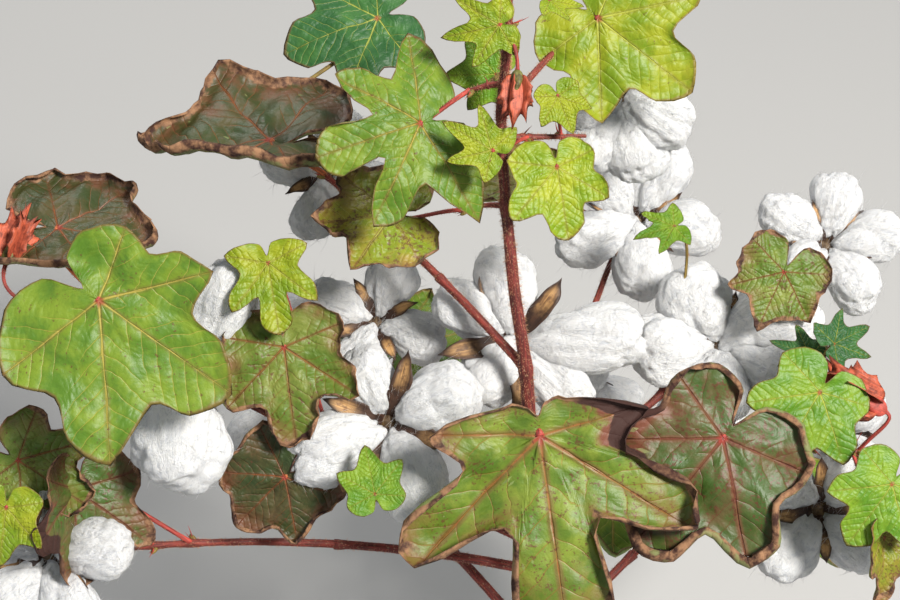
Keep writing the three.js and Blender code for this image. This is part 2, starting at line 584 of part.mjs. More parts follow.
// A lock: a ball stretched on its three axes, a little fuller at the outer end
function lockSolid(boll, lock) {
  const frame = lockFrame(boll, lock);
  const ball = new THREE.SphereGeometry(1, LOCK_SIDES, LOCK_BANDS);
  return toSolid(reshape(ball, ([x, y, z]) => {
    const full = 1 + 0.16 * y;
    const along = scale(frame.along, y * frame.half[0]);
    const across = scale(frame.across, x * frame.half[1] * full);
    return add(add(frame.middle, along), add(across, scale(frame.out, z * frame.half[2] * full)));
  }));
}

// Turns of the bur's valves: halfway between one lock and the next
function valveTurns(locks) {
  const turns = locks.map((lock) => ((lock[0] % 360) + 360) % 360).sort((a, b) => a - b);
  return turns.map((turn, i) => {
    const next = i + 1 < turns.length ? turns[i + 1] : turns[0] + 360;
    return (turn + next) / 2;
  });
}

// A point of the bur: a reach from its middle at a turn, lifted towards the open side
function burPoint(boll, turn, reach, lift) {
  const flat = add(scale(boll.side, Math.sin(radians(turn))), scale(boll.midrib, Math.cos(radians(turn))));
  return add(boll.middle, add(scale(flat, reach), scale(boll.normal, lift)));
}

// The bur: a thin star whose points are the dry valves, thick in the middle where the locks sit
function burSolid(boll) {
  const valves = valveTurns(boll.locks);
  const corners = valves.flatMap((turn, i) => {
    const next = i + 1 < valves.length ? valves[i + 1] : valves[0] + 360;
    return [[turn, boll.bur, boll.bur * BUR_RISE], [(turn + next) / 2, BUR_CUP, -1]];
  });
  const profile = [[0, 1], [1, 0], [0, -1]].map((p) => new THREE.Vector2(...p));
  const star = new THREE.LatheGeometry(profile, corners.length);
  return toSolid(reshape(star, ([x, height, z]) => {
    if (Math.hypot(x, z) < 0.5) return burPoint(boll, 0, 0, height > 0 ? BUR_TOP : -BUR_DEPTH);
    const steps = Math.round((Math.atan2(x, z) / (2 * Math.PI)) * corners.length) + corners.length;
    return burPoint(boll, ...corners[steps % corners.length]);
  }));
}

function bollSolid(boll) {
  let solid = limbSolid(bollStalk(boll), 0, 1, () => 1.7, STALK_SIDES, 2).add(burSolid(boll));
  for (const lock of boll.locks) solid = solid.add(lockSolid(boll, lock));
  return solid;
}

// A square: a closed bud in three fringed bracts, as one pointed body on its stalk
function squareSolid(square) {
  const line = (t) => add(square.middle, scale(square.normal, square.length * (t - 0.45)));
  const body = limbSolid(line, 0, 1, (t) => square.length * (0.1 + 1.3 * t * (1 - t) * (1.25 - t)), 6, 4);
  const end = line(0.06);
  const stalk = limbSolid(stalkLine(square.start, end, square.normal), 0, 1, () => 1.2, STALK_SIDES, 3);
  return body.add(stalk);
}

// The biggest piece of a fused body, so a scrap or a sealed hollow is left behind
function wholePiece(solid) {
  return solid.decompose().reduce((best, piece) => (piece.volume() > best.volume() ? piece : best));
}

function boughSolid(shoot, fatStem) {
  const limb = limbSolid(shootLine(shoot), 0, shoot.bough, (t) => shootRadius(shoot, t), BOUGH_SIDES, 4);
  return wholePiece(limb.subtract(fatStem));
}

// A mass: the twig that carries a shoot on, with every leaf, boll and square of that shoot fused to it
function massSolid(shoot, plan, fatStem) {
  const line = shootLine(shoot);
  const stepLength = size(sub(line(shoot.bough + 0.01), line(shoot.bough))) * 100;
  const from = shoot.bough > 0 || shoot.name === 'top' ? shoot.bough + GAP / stepLength : 0;
  let solid = limbSolid(line, from, 1, (t) => shootRadius(shoot, t), TWIG_SIDES, 6);
  const own = (organ) => organ.shoot === shoot.name;
  for (const boll of plan.bolls.filter(own)) solid = solid.add(bollSolid(boll));
  for (const square of plan.squares.filter(own)) solid = solid.add(squareSolid(square));
  for (const leaf of plan.leaves.filter(own)) solid = solid.add(leafSolid(leaf));
  const cut = shoot.bough > 0 || shoot.name === 'top' ? solid : solid.subtract(fatStem);
  return wholePiece(cut.simplify(EASE));
}

// A named mesh of a solid in its own material
function meshOf(name, solid, colour, roughness) {
  const mesh = solid.getMesh();
  const geometry = new THREE.BufferGeometry();
  geometry.setAttribute('position', new THREE.BufferAttribute(new Float32Array(mesh.vertProperties), 3));
  geometry.setIndex(new THREE.BufferAttribute(new Uint32Array(mesh.triVerts), 1));
  geometry.computeVertexNormals();
  const material = new THREE.MeshStandardMaterial({ color: colour, roughness, metalness: 0 });
  const body = new THREE.Mesh(geometry, material);
  body.name = name;
  return body;
}

const STEM_COLOUR = 0x5a2f26;
const BOUGH_COLOUR = 0x63352a;
const MASS_COLOUR = 0x6b7f35;

function buildPlant() {
  const group = new THREE.Group();
  group.name = 'cotton_plant';
  const plan = planPlant();
  const fatStem = stemSolid(GAP);
  group.add(meshOf('main_stem', stemSolid(0), STEM_COLOUR, 0.75));
  for (const shoot of SHOOTS) {
    if (shoot.bough > 0) group.add(meshOf(`bough_${shoot.name}`, boughSolid(shoot, fatStem), BOUGH_COLOUR, 0.75));
    group.add(meshOf(`mass_${shoot.name}`, massSolid(shoot, plan, fatStem), MASS_COLOUR, 0.6));
  }
  return group;
}

const group = buildPlant();
export default group;
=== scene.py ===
"""Looks of the cotton plant: leaves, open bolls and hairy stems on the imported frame, in metres."""

import json
import logging
import math
from dataclasses import dataclass
from enum import Enum
from functools import cached_property, lru_cache
from typing import Callable, ClassVar, NamedTuple, Optional, Sequence

import bmesh
import bpy
import numpy as np
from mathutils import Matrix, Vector

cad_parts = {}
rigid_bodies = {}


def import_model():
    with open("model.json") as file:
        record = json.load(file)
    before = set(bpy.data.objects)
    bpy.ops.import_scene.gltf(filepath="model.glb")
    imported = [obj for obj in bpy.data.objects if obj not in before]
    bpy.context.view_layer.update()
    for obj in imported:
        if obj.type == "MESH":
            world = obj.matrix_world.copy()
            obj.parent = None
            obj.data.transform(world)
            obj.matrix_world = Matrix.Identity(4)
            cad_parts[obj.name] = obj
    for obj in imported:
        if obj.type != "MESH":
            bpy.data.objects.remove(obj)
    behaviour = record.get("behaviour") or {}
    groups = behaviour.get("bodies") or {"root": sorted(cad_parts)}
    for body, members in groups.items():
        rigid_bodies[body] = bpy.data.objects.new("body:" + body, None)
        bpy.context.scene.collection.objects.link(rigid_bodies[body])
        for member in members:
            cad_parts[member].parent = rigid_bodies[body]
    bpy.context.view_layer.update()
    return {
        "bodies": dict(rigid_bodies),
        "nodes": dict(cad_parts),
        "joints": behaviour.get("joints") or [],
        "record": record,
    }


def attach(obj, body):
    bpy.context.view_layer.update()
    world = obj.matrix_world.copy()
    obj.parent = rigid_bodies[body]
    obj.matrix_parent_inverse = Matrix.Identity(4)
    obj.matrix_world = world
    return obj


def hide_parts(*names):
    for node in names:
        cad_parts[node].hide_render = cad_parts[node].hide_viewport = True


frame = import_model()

log = logging.getLogger("cotton_plant")

Array = np.ndarray
Socket = bpy.types.NodeSocket
Node = bpy.types.Node
Thing = bpy.types.Object
Triple = tuple[float, float, float]
Pair = tuple[Array, Array]
Line = Callable[[Array], Array]
Lock = tuple[float, float, float, float]
Roll = Callable[[float, float], float]

MM = 0.001
UP = np.array([0.0, 0.0, 1.0])
BODY = "root"

# The sunny face: a plane that slopes up and back through the crown, and the point it is judged from (mm)
FACE_MIDDLE = np.array([-35.0, 69.0, 479.0])
FACE_SLOPE = math.radians(45)
FACE_EYE = 900.0
FACE_HALF_WIDTH = 232.0
FACE_HALF_HEIGHT = 158.0
FACE_DEPTH = -78.0
FACE_ACROSS = np.array([1.0, 0.0, 0.0])
FACE_UPHILL = np.array([0.0, math.sin(FACE_SLOPE), math.cos(FACE_SLOPE)])
FACE_OUTWARD = np.array([0.0, -math.cos(FACE_SLOPE), math.sin(FACE_SLOPE)])

# Main stem: stations as across, back and height, and its radius law (mm)
STEM_PATH = [(0, 0, 0), (0, 0, 45), (4, 8, 150), (9, 22, 285), (6, 50, 415), (-4, 80, 490), (-10, 109, 555)]
STEM_STATIONS = np.array([*STEM_PATH, (-8, 124, 592)], float)
STEM_FOOT_RADIUS = 6.4
STEM_TIP_RADIUS = 2.2
FLARE_EXTRA = 3.6
FLARE_HEIGHT = 16.0

# Growth rule of the crown
RULE_SEED = 20817
RULE_TRIES = 9
RULE_LEAF_SIZE = (56, 80)
RULE_STALK = (42, 72)
RULE_LOCK = (32, 38)
RULE_PEDUNCLE = 22
RULE_BUR = 27
RULE_FORMS = ("BROAD", "BROAD", "STAR", "ROUND")
RULE_LOOKS = ("green", "aged", "fresh", "purple", "green", "dark", "speckled", "deep")
BOLL_SPREAD = (0.1, 0.86, 0.7)
LEAF_SPREAD = (0.06, 0.94, 0.6)
STEM_SPOTS = 60
STEM_ROOM = 8.0
LINE_SPOTS = 16
LINE_ROOM = 4.0
OWN_ROOM = 12
GROUND_CLEAR = 45
CURL_START = 0.68
LEAF_THICKNESS = 0.38


def unit(vector: Array) -> Array:
    """Gives the vector, or each row of it, at length one."""
    return vector / np.sqrt((vector * vector).sum(-1, keepdims=True))


def mix(a: Array, b: Array, share: float) -> Array:
    """Gives the point at a share of the way from a to b."""
    return a * (1 - share) + b * share


def srgb(red: float, green: float, blue: float) -> Triple:
    """Turns a colour of 0 to 255 steps into the linear colour that a shader takes.

    Args:
        red: Red, 0 to 255.
        green: Green, 0 to 255.
        blue: Blue, 0 to 255.

    Returns:
        The linear colour.
    """
    steps = [value / 255 for value in (red, green, blue)]
    return tuple(s / 12.92 if s < 0.04045 else ((s + 0.055) / 1.055) ** 2.4 for s in steps)


def on_face(across: float, up: float, out: float) -> Array:
    """Gives the plant point of a place on the sunny face.

    Args:
        across: Place to the right, as judged from the eye point.
        up: Place uphill, as judged from the eye point.
        out: Height out of the face.

    Returns:
        The point in plant millimetres.
    """
    shrink = 1 - out / FACE_EYE
    return FACE_MIDDLE + FACE_ACROSS * across * shrink + FACE_UPHILL * up * shrink + FACE_OUTWARD * out


def face_of(points: Array) -> tuple[Array, Array, Array]:
    """Gives where points lie on the sunny face: across, up and out."""
    offset = points - FACE_MIDDLE
    out = offset @ FACE_OUTWARD
    shrink = 1 - out / FACE_EYE
    return (offset @ FACE_ACROSS) / shrink, (offset @ FACE_UPHILL) / shrink, out


def face_frame(turn: float, lean: Sequence[float]) -> tuple[Array, Array, Array]:
    """Gives side, midrib and normal of a blade or boll on the sunny face.

    Args:
        turn: Midrib's turn from uphill, in degrees.
        lean: How far the normal leans across and uphill.

    Returns:
        The side, midrib and normal directions.
    """
    normal = unit(FACE_ACROSS * lean[0] + FACE_UPHILL * lean[1] + FACE_OUTWARD)
    angle = math.radians(turn)
    aim = FACE_ACROSS * math.sin(angle) + FACE_UPHILL * math.cos(angle)
    midrib = unit(aim - normal * (aim @ normal))
    return np.cross(midrib, normal), midrib, normal


class Dice:
    """Seeded dice that give the same throws as the part's own rule."""

    def __init__(self, seed: int) -> None:
        """Starts the dice at a seed."""
        self.state = seed

    def roll(self, low: float, high: float) -> float:
        """Gives the next throw between low and high."""
        self.state = (self.state * 16807) % 2147483647
        return low + ((high - low) * self.state) / 2147483647


class Outline(NamedTuple):
    """Lengths and angles that set a leaf's outline, for a middle lobe of length one."""

    side: float
    side_angle: float
    basal: float
    basal_angle: float
    bay: float
    notch: float
    heel: float


class LeafForm(Enum):
    """The leaf outlines that the plant has."""

    BROAD = Outline(0.88, 50, 0.62, 106, 0.68, 0.12, 1.0)
    STAR = Outline(0.96, 48, 0.98, 106, 0.64, 0.12, 1.0)
    SPLIT = Outline(0.84, 44, 0.6, 108, 0.52, 0.1, 0.8)
    ROUND = Outline(0.94, 52, 0.8, 112, 0.8, 0.12, 1.1)
    WIDE = Outline(0.88, 50, 0.52, 98, 0.5, 0.1, 0.5)
    OVAL = Outline(0.97, 48, 1.0, 106, 0.5, 0.12, 0.72)


@dataclass(frozen=True)
class LeafLook:
    """Colours and wear of a leaf: two greens, veins, how spotted and dead it is, and a dead lobe's turn."""

    tone: Triple
    patch: Triple
    vein: Triple
    spots: float = 0.3
    dead: float = 0.0
    lobe: Optional[float] = None


YELLOW_VEIN = srgb(196, 200, 90)
GOLD_VEIN = srgb(196, 172, 86)
TAN_VEIN = srgb(156, 88, 54)
PURPLE_VEIN = srgb(120, 56, 50)
LEAF_LOOKS = {
    "fresh": LeafLook(srgb(80, 124, 22), srgb(116, 146, 30), YELLOW_VEIN, 0.2, 0.08),
    "bright": LeafLook(srgb(108, 134, 16), srgb(146, 154, 26), YELLOW_VEIN, 0.4, 0.16),
    "green": LeafLook(srgb(76, 110, 26), srgb(110, 132, 34), GOLD_VEIN, 0.55, 0.18),
    "speckled": LeafLook(srgb(110, 126, 24), srgb(148, 136, 44), YELLOW_VEIN, 1.1, 0.75),
    "aged": LeafLook(srgb(82, 106, 30), srgb(120, 130, 56), TAN_VEIN, 0.85, 0.85),
    "worn": LeafLook(srgb(78, 106, 26), srgb(120, 136, 46), TAN_VEIN, 1.0, 0.85, -98),
    "purple": LeafLook(srgb(62, 88, 32), srgb(92, 84, 46), PURPLE_VEIN, 1.15, 0.9, 50),
    "dark": LeafLook(srgb(48, 62, 28), srgb(74, 68, 36), TAN_VEIN, 0.5, 0.9),
    "deep": LeafLook(srgb(38, 84, 40), srgb(58, 104, 46), YELLOW_VEIN, 0.1, 0.05),
}


@dataclass
class Shoot:
    """A fruiting shoot: bare bough, then the twig that carries it on."""

    name: str
    height: float
    tip: Array
    arch: float
    radius: float
    bough: float
    leaves: int
    bolls: int

    def line(self, t: Array) -> Array:
        """Gives the points of the shoot's line at shares of its length."""
        t = np.asarray(t, float)[..., None]
        root = stem_point(stem_share_at(self.height))
        belly = mix(root, np.asarray(self.tip, float), 0.5) + UP * 2 * self.arch
        return root * (1 - t) ** 2 + belly * 2 * t * (1 - t) + np.asarray(self.tip, float) * t * t

    def radius_at(self, t: Array) -> Array:
        """Gives the shoot's radius at shares of its length."""
        return self.radius * (1 - 0.52 * np.asarray(t, float))


def stem_point(t: float) -> Array:
    """Gives the point of the main stem at a share of its stations."""
    last = len(STEM_STATIONS) - 1
    place = min(max(t, 0), 1) * last
    i = min(int(math.floor(place)), last - 1)
    k = place - i
    p1, p2 = STEM_STATIONS[i], STEM_STATIONS[i + 1]
    p0 = STEM_STATIONS[i - 1] if i > 0 else 2 * p1 - p2
    p3 = STEM_STATIONS[i + 2] if i < last - 1 else 2 * p2 - p1
    cubic = 3 * p1 - p0 - 3 * p2 + p3
    square = 2 * p0 - 5 * p1 + 4 * p2 - p3
    return 0.5 * (2 * p1 + (p2 - p0) * k + square * k * k + cubic * k * k * k)


def stem_share_at(height: float) -> float:
    """Gives the share of the stem's stations at a height."""
    low, high = 0.0, 1.0
    for _ in range(40):
        middle = (low + high) / 2
        if stem_point(middle)[2] < height:
            low = middle
        else:
            high = middle
    return (low + high) / 2


def stem_radius(height: Array) -> Array:
    """Gives the stem's radius at heights, with its taper and root flare."""
    height = np.asarray(height, float)
    share = np.clip(height / STEM_STATIONS[-1][2], 0, 1)
    taper = STEM_FOOT_RADIUS + (STEM_TIP_RADIUS - STEM_FOOT_RADIUS) * share
    return taper + FLARE_EXTRA * np.exp(-height / FLARE_HEIGHT)


SHOOTS = [
    Shoot("low_back", 146, (34, 232, 236), 16, 3.0, 0.34, 4, 2),
    Shoot("low_front_right", 172, (152, -150, 222), 22, 3.0, 0.34, 4, 2),
    Shoot("low_front_left", 200, (-142, -150, 240), 24, 3.0, 0.34, 4, 2),
    Shoot("low_back_right", 230, (195, 172, 290), 22, 2.9, 0.34, 4, 2),
    Shoot("low_back_left", 262, (-182, 190, 312), 24, 2.9, 0.34, 4, 2),
    Shoot("left_low", 312, on_face(-196, -128, -40), 18, 2.8, 0.42, 2, 0),
    Shoot("left_mid", 332, on_face(-164, -18, -18), -4, 2.8, 0.34, 1, 0),
    Shoot("right_back", 350, on_face(186, 16, -132), 10, 2.7, 0.3, 2, 0),
    Shoot("front", 362, (34, -165, 322), 8, 2.6, 0.2, 3, 1),
    Shoot("back", 372, on_face(90, 44, -165), 4, 2.6, 0.2, 3, 0),
    Shoot("front_left", 390, on_face(-85, -60, -57), 3, 2.5, 0.28, 2, 0),
    Shoot("front_right", 402, on_face(204, -76, -14), 8, 2.6, 0.34, 1, 0),
    Shoot("back_left", 440, on_face(-98, 88, -98), 12, 2.4, 0.3, 3, 0),
    Shoot("mid_left", 520, on_face(8, 45, 0), 2, 1.7, 0, 0, 0),
    Shoot("high_mid", 552, on_face(68, 82, 14), 0, 1.9, 0, 0, 0),
    Shoot("high_right", 564, on_face(66, 138, -8), 2, 2.1, 0, 0, 0),
    Shoot("high_left", 577, on_face(8, 104, 30), 1, 1.9, 0, 0, 0),
    Shoot("top", 592, (-6, 141, 632), 1, 2.1, 0, 0, 0),
]
SHOOT_BY_NAME = {shoot.name: shoot for shoot in SHOOTS}


def stalk_line(start: Array, end: Array, arrival: Array) -> Line:
    """Makes the line of a stalk that leaves its twig and comes to its end from behind.

    Args:
        start: Point on the twig.
        end: Point where the stalk ends.
        arrival: Direction in which it arrives.

    Returns:
        A function from shares of the length to points.
    """
    length = math.sqrt(float((end - start) @ (end - start)))
    first = mix(start, end, 0.35) + UP * 0.06 * length
    second = end - arrival * 0.3 * length

    def line(t: Array) -> Array:
        """Gives the points at shares of the stalk."""
        t = np.asarray(t, float)[..., None]
        s = 1 - t
        return start * s**3 + first * 3 * s * s * t + second * 3 * s * t * t + end * t**3

    return line


@dataclass
class Organ:
    """What a shoot carries: its place along the shoot, its middle and its axes."""

    shoot: str
    at: float
    middle: Array
    side: Array
    midrib: Array
    normal: Array

    @property
    def start(self) -> Array:
        """Gives the point where the organ leaves its shoot."""
        return SHOOT_BY_NAME[self.shoot].line(self.at)

    @property
    def axes(self) -> Array:
        """Gives the side, midrib and normal as rows."""
        return np.stack([self.side, self.midrib, self.normal])

    def ray(self, turn: float) -> Array:
        """Gives the direction out from the middle at a turn in degrees, across the normal."""
        angle = math.radians(turn)
        return self.side * math.sin(angle) + self.midrib * math.cos(angle)

    def stalk(self) -> Line:
        """Gives the line of the organ's stalk."""
        raise NotImplementedError


@dataclass
class Leaf(Organ):
    """One leaf: its outline and how it droops, folds and curls. Its middle is where the stalk joins it."""

    length: float
    form: LeafForm
    droop: float
    fold: float
    curl: float
    skew: float
    phase: float
    fine: bool
    look: str = "green"

    def rows(self) -> list[tuple[float, float]]:
        """Gives the half outline as turns and reaches, from tip to notch."""
        form = self.form.value
        first_bay = form.side_angle * 0.56
        rows = [
            (0, 1),
            (first_bay, form.bay * 0.95),
            (form.side_angle, form.side),
            ((form.side_angle + form.basal_angle) / 2, form.bay * 0.5 * (form.side + form.basal) + 0.04),
            (form.basal_angle, form.basal),
            (138, form.basal * 0.84 * form.heel),
            (164, form.basal * 0.58 * form.heel),
            (180, form.notch),
        ]
        if self.fine:
            rows.insert(3, (form.side_angle * 1.32, form.side * 0.84))
            rows.insert(1, (first_bay * 0.6, 0.86))
        return rows

    def outline(self) -> Array:
        """Gives the outline's corners in the blade's plane, for a middle lobe of length one."""
        rows = self.rows()
        turns = [turn for turn, _ in rows] + [-turn for turn, _ in rows[-2:0:-1]]
        reaches = [reach for _, reach in rows] + [reach for _, reach in rows[-2:0:-1]]
        angles = np.radians(turns)
        reach = np.array(reaches) * (1 + self.skew * np.sin(angles))
        return np.stack([reach * np.sin(angles), reach * np.cos(angles)], 1)

    def surface(self, flat: Array, share: Array) -> Array:
        """Gives the blade's points for outline points shrunk to a share."""
        rim = np.maximum(0, (share - CURL_START) / (1 - CURL_START))
        tuck = share * (1 - 0.3 * abs(self.curl) * rim * rim)
        x = flat[..., 0] * tuck
        y = flat[..., 1] * tuck
        reach = x * x + y * y
        fold = self.fold * (np.sqrt(x * x + 0.0036) - 0.06)
        wave = 0.05 * reach * np.sin(3 * np.arctan2(x, y) + self.phase)
        lift = fold + wave + 0.24 * self.curl * rim * rim * np.sqrt(reach) - self.droop * reach
        local = np.stack([x, y, lift], -1) * self.length
        return self.middle + local @ self.axes

    def stalk(self) -> Line:
        """Gives the line of the leaf's stalk."""
        return stalk_line(self.start, self.middle, unit(self.midrib * 0.7 + self.normal * 0.7))

    def spots(self) -> Pair:
        """Gives the points and radii that stand for the leaf when room is looked for."""
        outline = self.outline()
        rings = [self.surface(outline, np.full(len(outline), share)) for share in (0.4, 0.72, 1.0)]
        stalk = self.stalk()(np.array([0.35, 0.5, 0.65, 0.8]))
        points = np.concatenate([*rings, self.middle[None], stalk])
        radii = np.full(len(points), 0.09 * self.length + 1)
        radii[-4:] = 2.5
        return points, radii


@dataclass
class Boll(Organ):
    """An open boll: its locks of fluff and the length of its bur."""

    locks: list[Lock]
    bur: float
    fine: bool = False

    def stalk(self) -> Line:
        """Gives the line of the boll's stalk."""
        return stalk_line(self.start, self.middle - self.normal * 7, self.normal)

    def lock_frame(self, lock: Sequence[float]) -> tuple[Array, Array, Array]:
        """Gives a lock's middle, its axes as rows (across, along, out) and its half sizes."""
        turn, reach, length, width = lock
        along = unit(self.ray(turn) + self.normal * 0.3)
        across = unit(np.cross(self.normal, along))
        half = np.array([width / 2, max(length / 2, reach - 5), width * 0.44])
        return self.middle + along * reach, np.stack([across, along, np.cross(across, along)]), half

    def valve_turns(self) -> list[float]:
        """Gives the turns of the bur's valves, halfway between neighbouring locks."""
        turns = sorted(lock[0] % 360 for lock in self.locks)
        return [(a + b) / 2 for a, b in zip(turns, turns[1:] + [turns[0] + 360])]

    def spots(self) -> Pair:
        """Gives the points and radii that stand for the boll when room is looked for."""
        frames = [self.lock_frame(lock) for lock in self.locks]
        points = [middle for middle, _, _ in frames] + [self.middle, self.stalk()(0.6)]
        radii = [0.46 * (half[1] + half[0]) + 2 for _, _, half in frames] + [12, 3]
        return np.array(points), np.array(radii)


@dataclass
class Square(Organ):
    """A square or withered flower in its fringed bracts."""

    length: float

    def stalk(self) -> Line:
        """Gives the line of the square's stalk."""
        return stalk_line(self.start, self.middle - self.normal * self.length * 0.4, self.normal)


def even_locks(count: int, first: float, length: float) -> list[Lock]:
    """Gives the locks of an even boll.

    Args:
        count: Number of locks.
        first: Turn of the first one, in degrees.
        length: Length of a lock.

    Returns:
        Turn, reach, length and width of each lock.
    """
    lengths = [length * (1 + 0.12 * ((i * 7) % 3 - 1)) for i in range(count)]
    return [(first + 360 * i / count, length * 0.64, own, length * 0.74) for i, own in enumerate(lengths)]


BROAD, SPLIT, ROUND, WIDE, OVAL = (LeafForm[name] for name in ("BROAD", "SPLIT", "ROUND", "WIDE", "OVAL"))

# Leaves of the sunny face: shoot, place along it, junction on the face, length, turn of the midrib,
# lean, form, droop, fold, curl, look, skew
FACE_LEAVES = [
    ("high_left", 0.9, (-15, 88.5, 34), 53, 251, (0.28, 0.12), OVAL, 0.26, 0.0, 0.1, "green", -0.08),
    ("high_left", 0.42, (23, 113, 12), 26, 268, (0, -0.2), BROAD, 0.15, 0.1, 0, "fresh", 0),
    ("high_right", 1, (74, 141, 14), 60, 128, (-0.1, -0.1), BROAD, 0.14, 0.05, 0.1, "bright", 0),
    ("high_mid", 0.24, (53.5, 66.5, 27), 37, 170, (0.1, 0.05), BROAD, 0.1, 0.06, 0.1, "bright", 0.1),
    ("high_mid", 0.32, (21, 75, 46), 27, 300, (0.1, -0.1), SPLIT, 0.2, 0.1, 0, "bright", 0),
    ("high_mid", 0.7, (54, 102, 30), 20, 160, (0.1, 0.2), BROAD, 0.1, 0.1, 0, "bright", 0),
    ("top", 0.35, (24.5, 137.5, 52), 29, 256, (0, -0.25), SPLIT, 0.2, 0.12, 0.1, "bright", 0),
    ("top", 0.7, (38, 158, 48), 22, 20, (0.1, 0.5), SPLIT, 0.15, 0.3, 0, "bright", 0),
    ("top", 0.9, (50, 150, 54), 17, 95, (0.2, 0.3), SPLIT, 0.15, 0.3, 0, "bright", 0),
    ("mid_left", 1, (-29, 42, -10), 44, 262, (0.1, 0.6), ROUND, 0.1, 0.05, 0.35, "speckled", 0),
    ("left_mid", 1, (-175.5, 0, 60), 76, 126, (0, 0), BROAD, 0.08, 0.06, 0.05, "green", 0.22),
    ("left_mid", 0.5, (-91, 18.5, 18), 36, 171, (0, 0.1), SPLIT, 0.1, 0.12, 0, "bright", 0),
    ("left_mid", 0.94, (-196, 36, -18), 62, 98, (0, 1.3), ROUND, 0.2, 0.25, 0.5, "dark", 0),
    ("front_left", 0.86, (-83, -23.5, 5), 56, 173, (0, 0.05), BROAD, 0.12, 0.1, 0.35, "aged", 0),
    ("front_left", 1, (-82.5, -88.5, -14), 46, 222, (0, -0.25), ROUND, 0.15, 0.1, 0.6, "dark", 0),
    ("front_left", 0.5, (-37.5, -97, 12), 25, 348, (0, 0.2), BROAD, 0.1, 0.1, 0, "fresh", 0),
    ("front", 0.3, (45, -68, 36), 115, 172, (0, -0.08), WIDE, 0.06, -0.04, 0.42, "worn", 0),
    ("front_right", 0.62, (136.5, -69, 22), 90, 219, (0, 0), BROAD, 0.1, 0.02, 0.95, "purple", -0.08),
    ("front_right", 0.86, (185, -46, 14), 43, 212, (0.1, 0.1), BROAD, 0.14, 0.06, 0, "fresh", 0),
    ("front_right", 0.95, (192, -22, -12), 25, 62, (0.2, 0.3), SPLIT, 0.2, 0.15, 0, "deep", 0),
    ("front_right", 0.74, (180, -28, -22), 22, 298, (0, 0.4), SPLIT, 0.2, 0.2, 0, "deep", 0),
    ("front_right", 1, (221, -92, 22), 37, 214, (0.1, 0), BROAD, 0.15, 0.08, 0, "fresh", 0),
    ("front_right", 0.98, (217, -119, 8), 34, 186, (0.7, 0), BROAD, 0.1, 0.6, 0.2, "speckled", 0),
    ("right_back", 0.62, (167, 14, -58), 34, 205, (0, 0.1), ROUND, 0.12, 0.06, 0.2, "aged", 0),
    ("right_back", 0.45, (112, 37, -52), 23, 250, (0, 0.5), SPLIT, 0.1, 0.1, 0, "fresh", 0),
    ("back_left", 0.72, (-90, 80, -36), 82, 284, (0, 1.9), ROUND, 0.14, 0.3, 0.4, "dark", 0),
    ("back_left", 1, (-36, 141, -110), 56, 250, (0, 0.3), BROAD, 0.12, 0.05, 0, "deep", 0),
    ("left_low", 0.8, (-216, -80, 4), 48, 125, (0, 0), BROAD, 0.2, 0.05, 0.3, "aged", 0),
    ("left_low", 0.72, (-186, -95, -6), 54, 180, (1.1, 0), BROAD, 0.1, 0.5, 0.2, "purple", 0),
    ("left_low", 1, (-222, -104, 24), 30, 188, (0, 0), BROAD, 0.1, 0.1, 0, "bright", 0),
]

# Open bolls of the sunny face: shoot, place along it, middle on the face, lean, locks and bur length
FACE_BOLLS = [
    (
        "back", 0.3, (31.5, -20.5, -60), (0, 0.1),
        [(303, 27, 42, 27), (353, 27, 47, 31), (91, 38, 56, 34), (136, 31, 38, 28), (212, 19, 40, 31)], 42,
    ),
    (
        "front_left", 0.5, (-30.5, -61, -30), (0, 0.05),
        [(333, 24, 38, 28), (65, 28, 44, 34), (158, 29, 48, 35), (246, 30, 48, 34)], 39,
    ),
    (
        "left_mid", 0.62, (-131, -36, -12), (-0.1, 0.1),
        [(30, 35, 52, 32), (180, 33, 50, 44), (285, 26, 40, 32), (330, 26, 38, 28)], 30,
    ),
    ("front_left", 0.7, (-37, -12, -90), (0, 0.3), even_locks(4, 20, 36), 28),
    ("left_low", 0.93, (-200, -128, -22), (-0.1, 0), even_locks(5, 8, 40), 30),
    (
        "right_back", 0.44, (134, -24, -88), (0, 0.2),
        [(266, 28, 42, 36), (335, 25, 44, 36), (62, 32, 52, 40), (118, 30, 44, 34), (190, 24, 42, 38)], 32,
    ),
    ("back", 1, (92.5, 39, -137), (0, 0.2), even_locks(5, 30, 42), 30),
    (
        "high_right", 0.85, (84, 100, -42), (0.1, -0.7),
        [(205, 20, 38, 32), (158, 25, 42, 34), (108, 22, 40, 32), (258, 15, 28, 24)], 24,
    ),
    ("right_back", 0.95, (188, 27, -128), (0.1, 0.3), even_locks(5, 12, 38), 28),
    ("front_right", 0.8, (183, -104, -44), (0.1, -0.1), even_locks(4, 40, 38), 30),
    ("back_left", 0.58, (-60, 62, -92), (0, 0.2), even_locks(4, 15, 34), 28),
]

# Squares and withered flowers: shoot, place along it, middle on the face, turn, lean and length
FACE_SQUARES = [
    ("front_right", 1, (207, -50, 0), 300, (0, 0.2), 30),
    ("top", 0.3, (33, 107, 52), 185, (0, 0.1), 19),
    ("left_mid", 0.9, (-219, 26, 2), 20, (0, 0.1), 22),
]


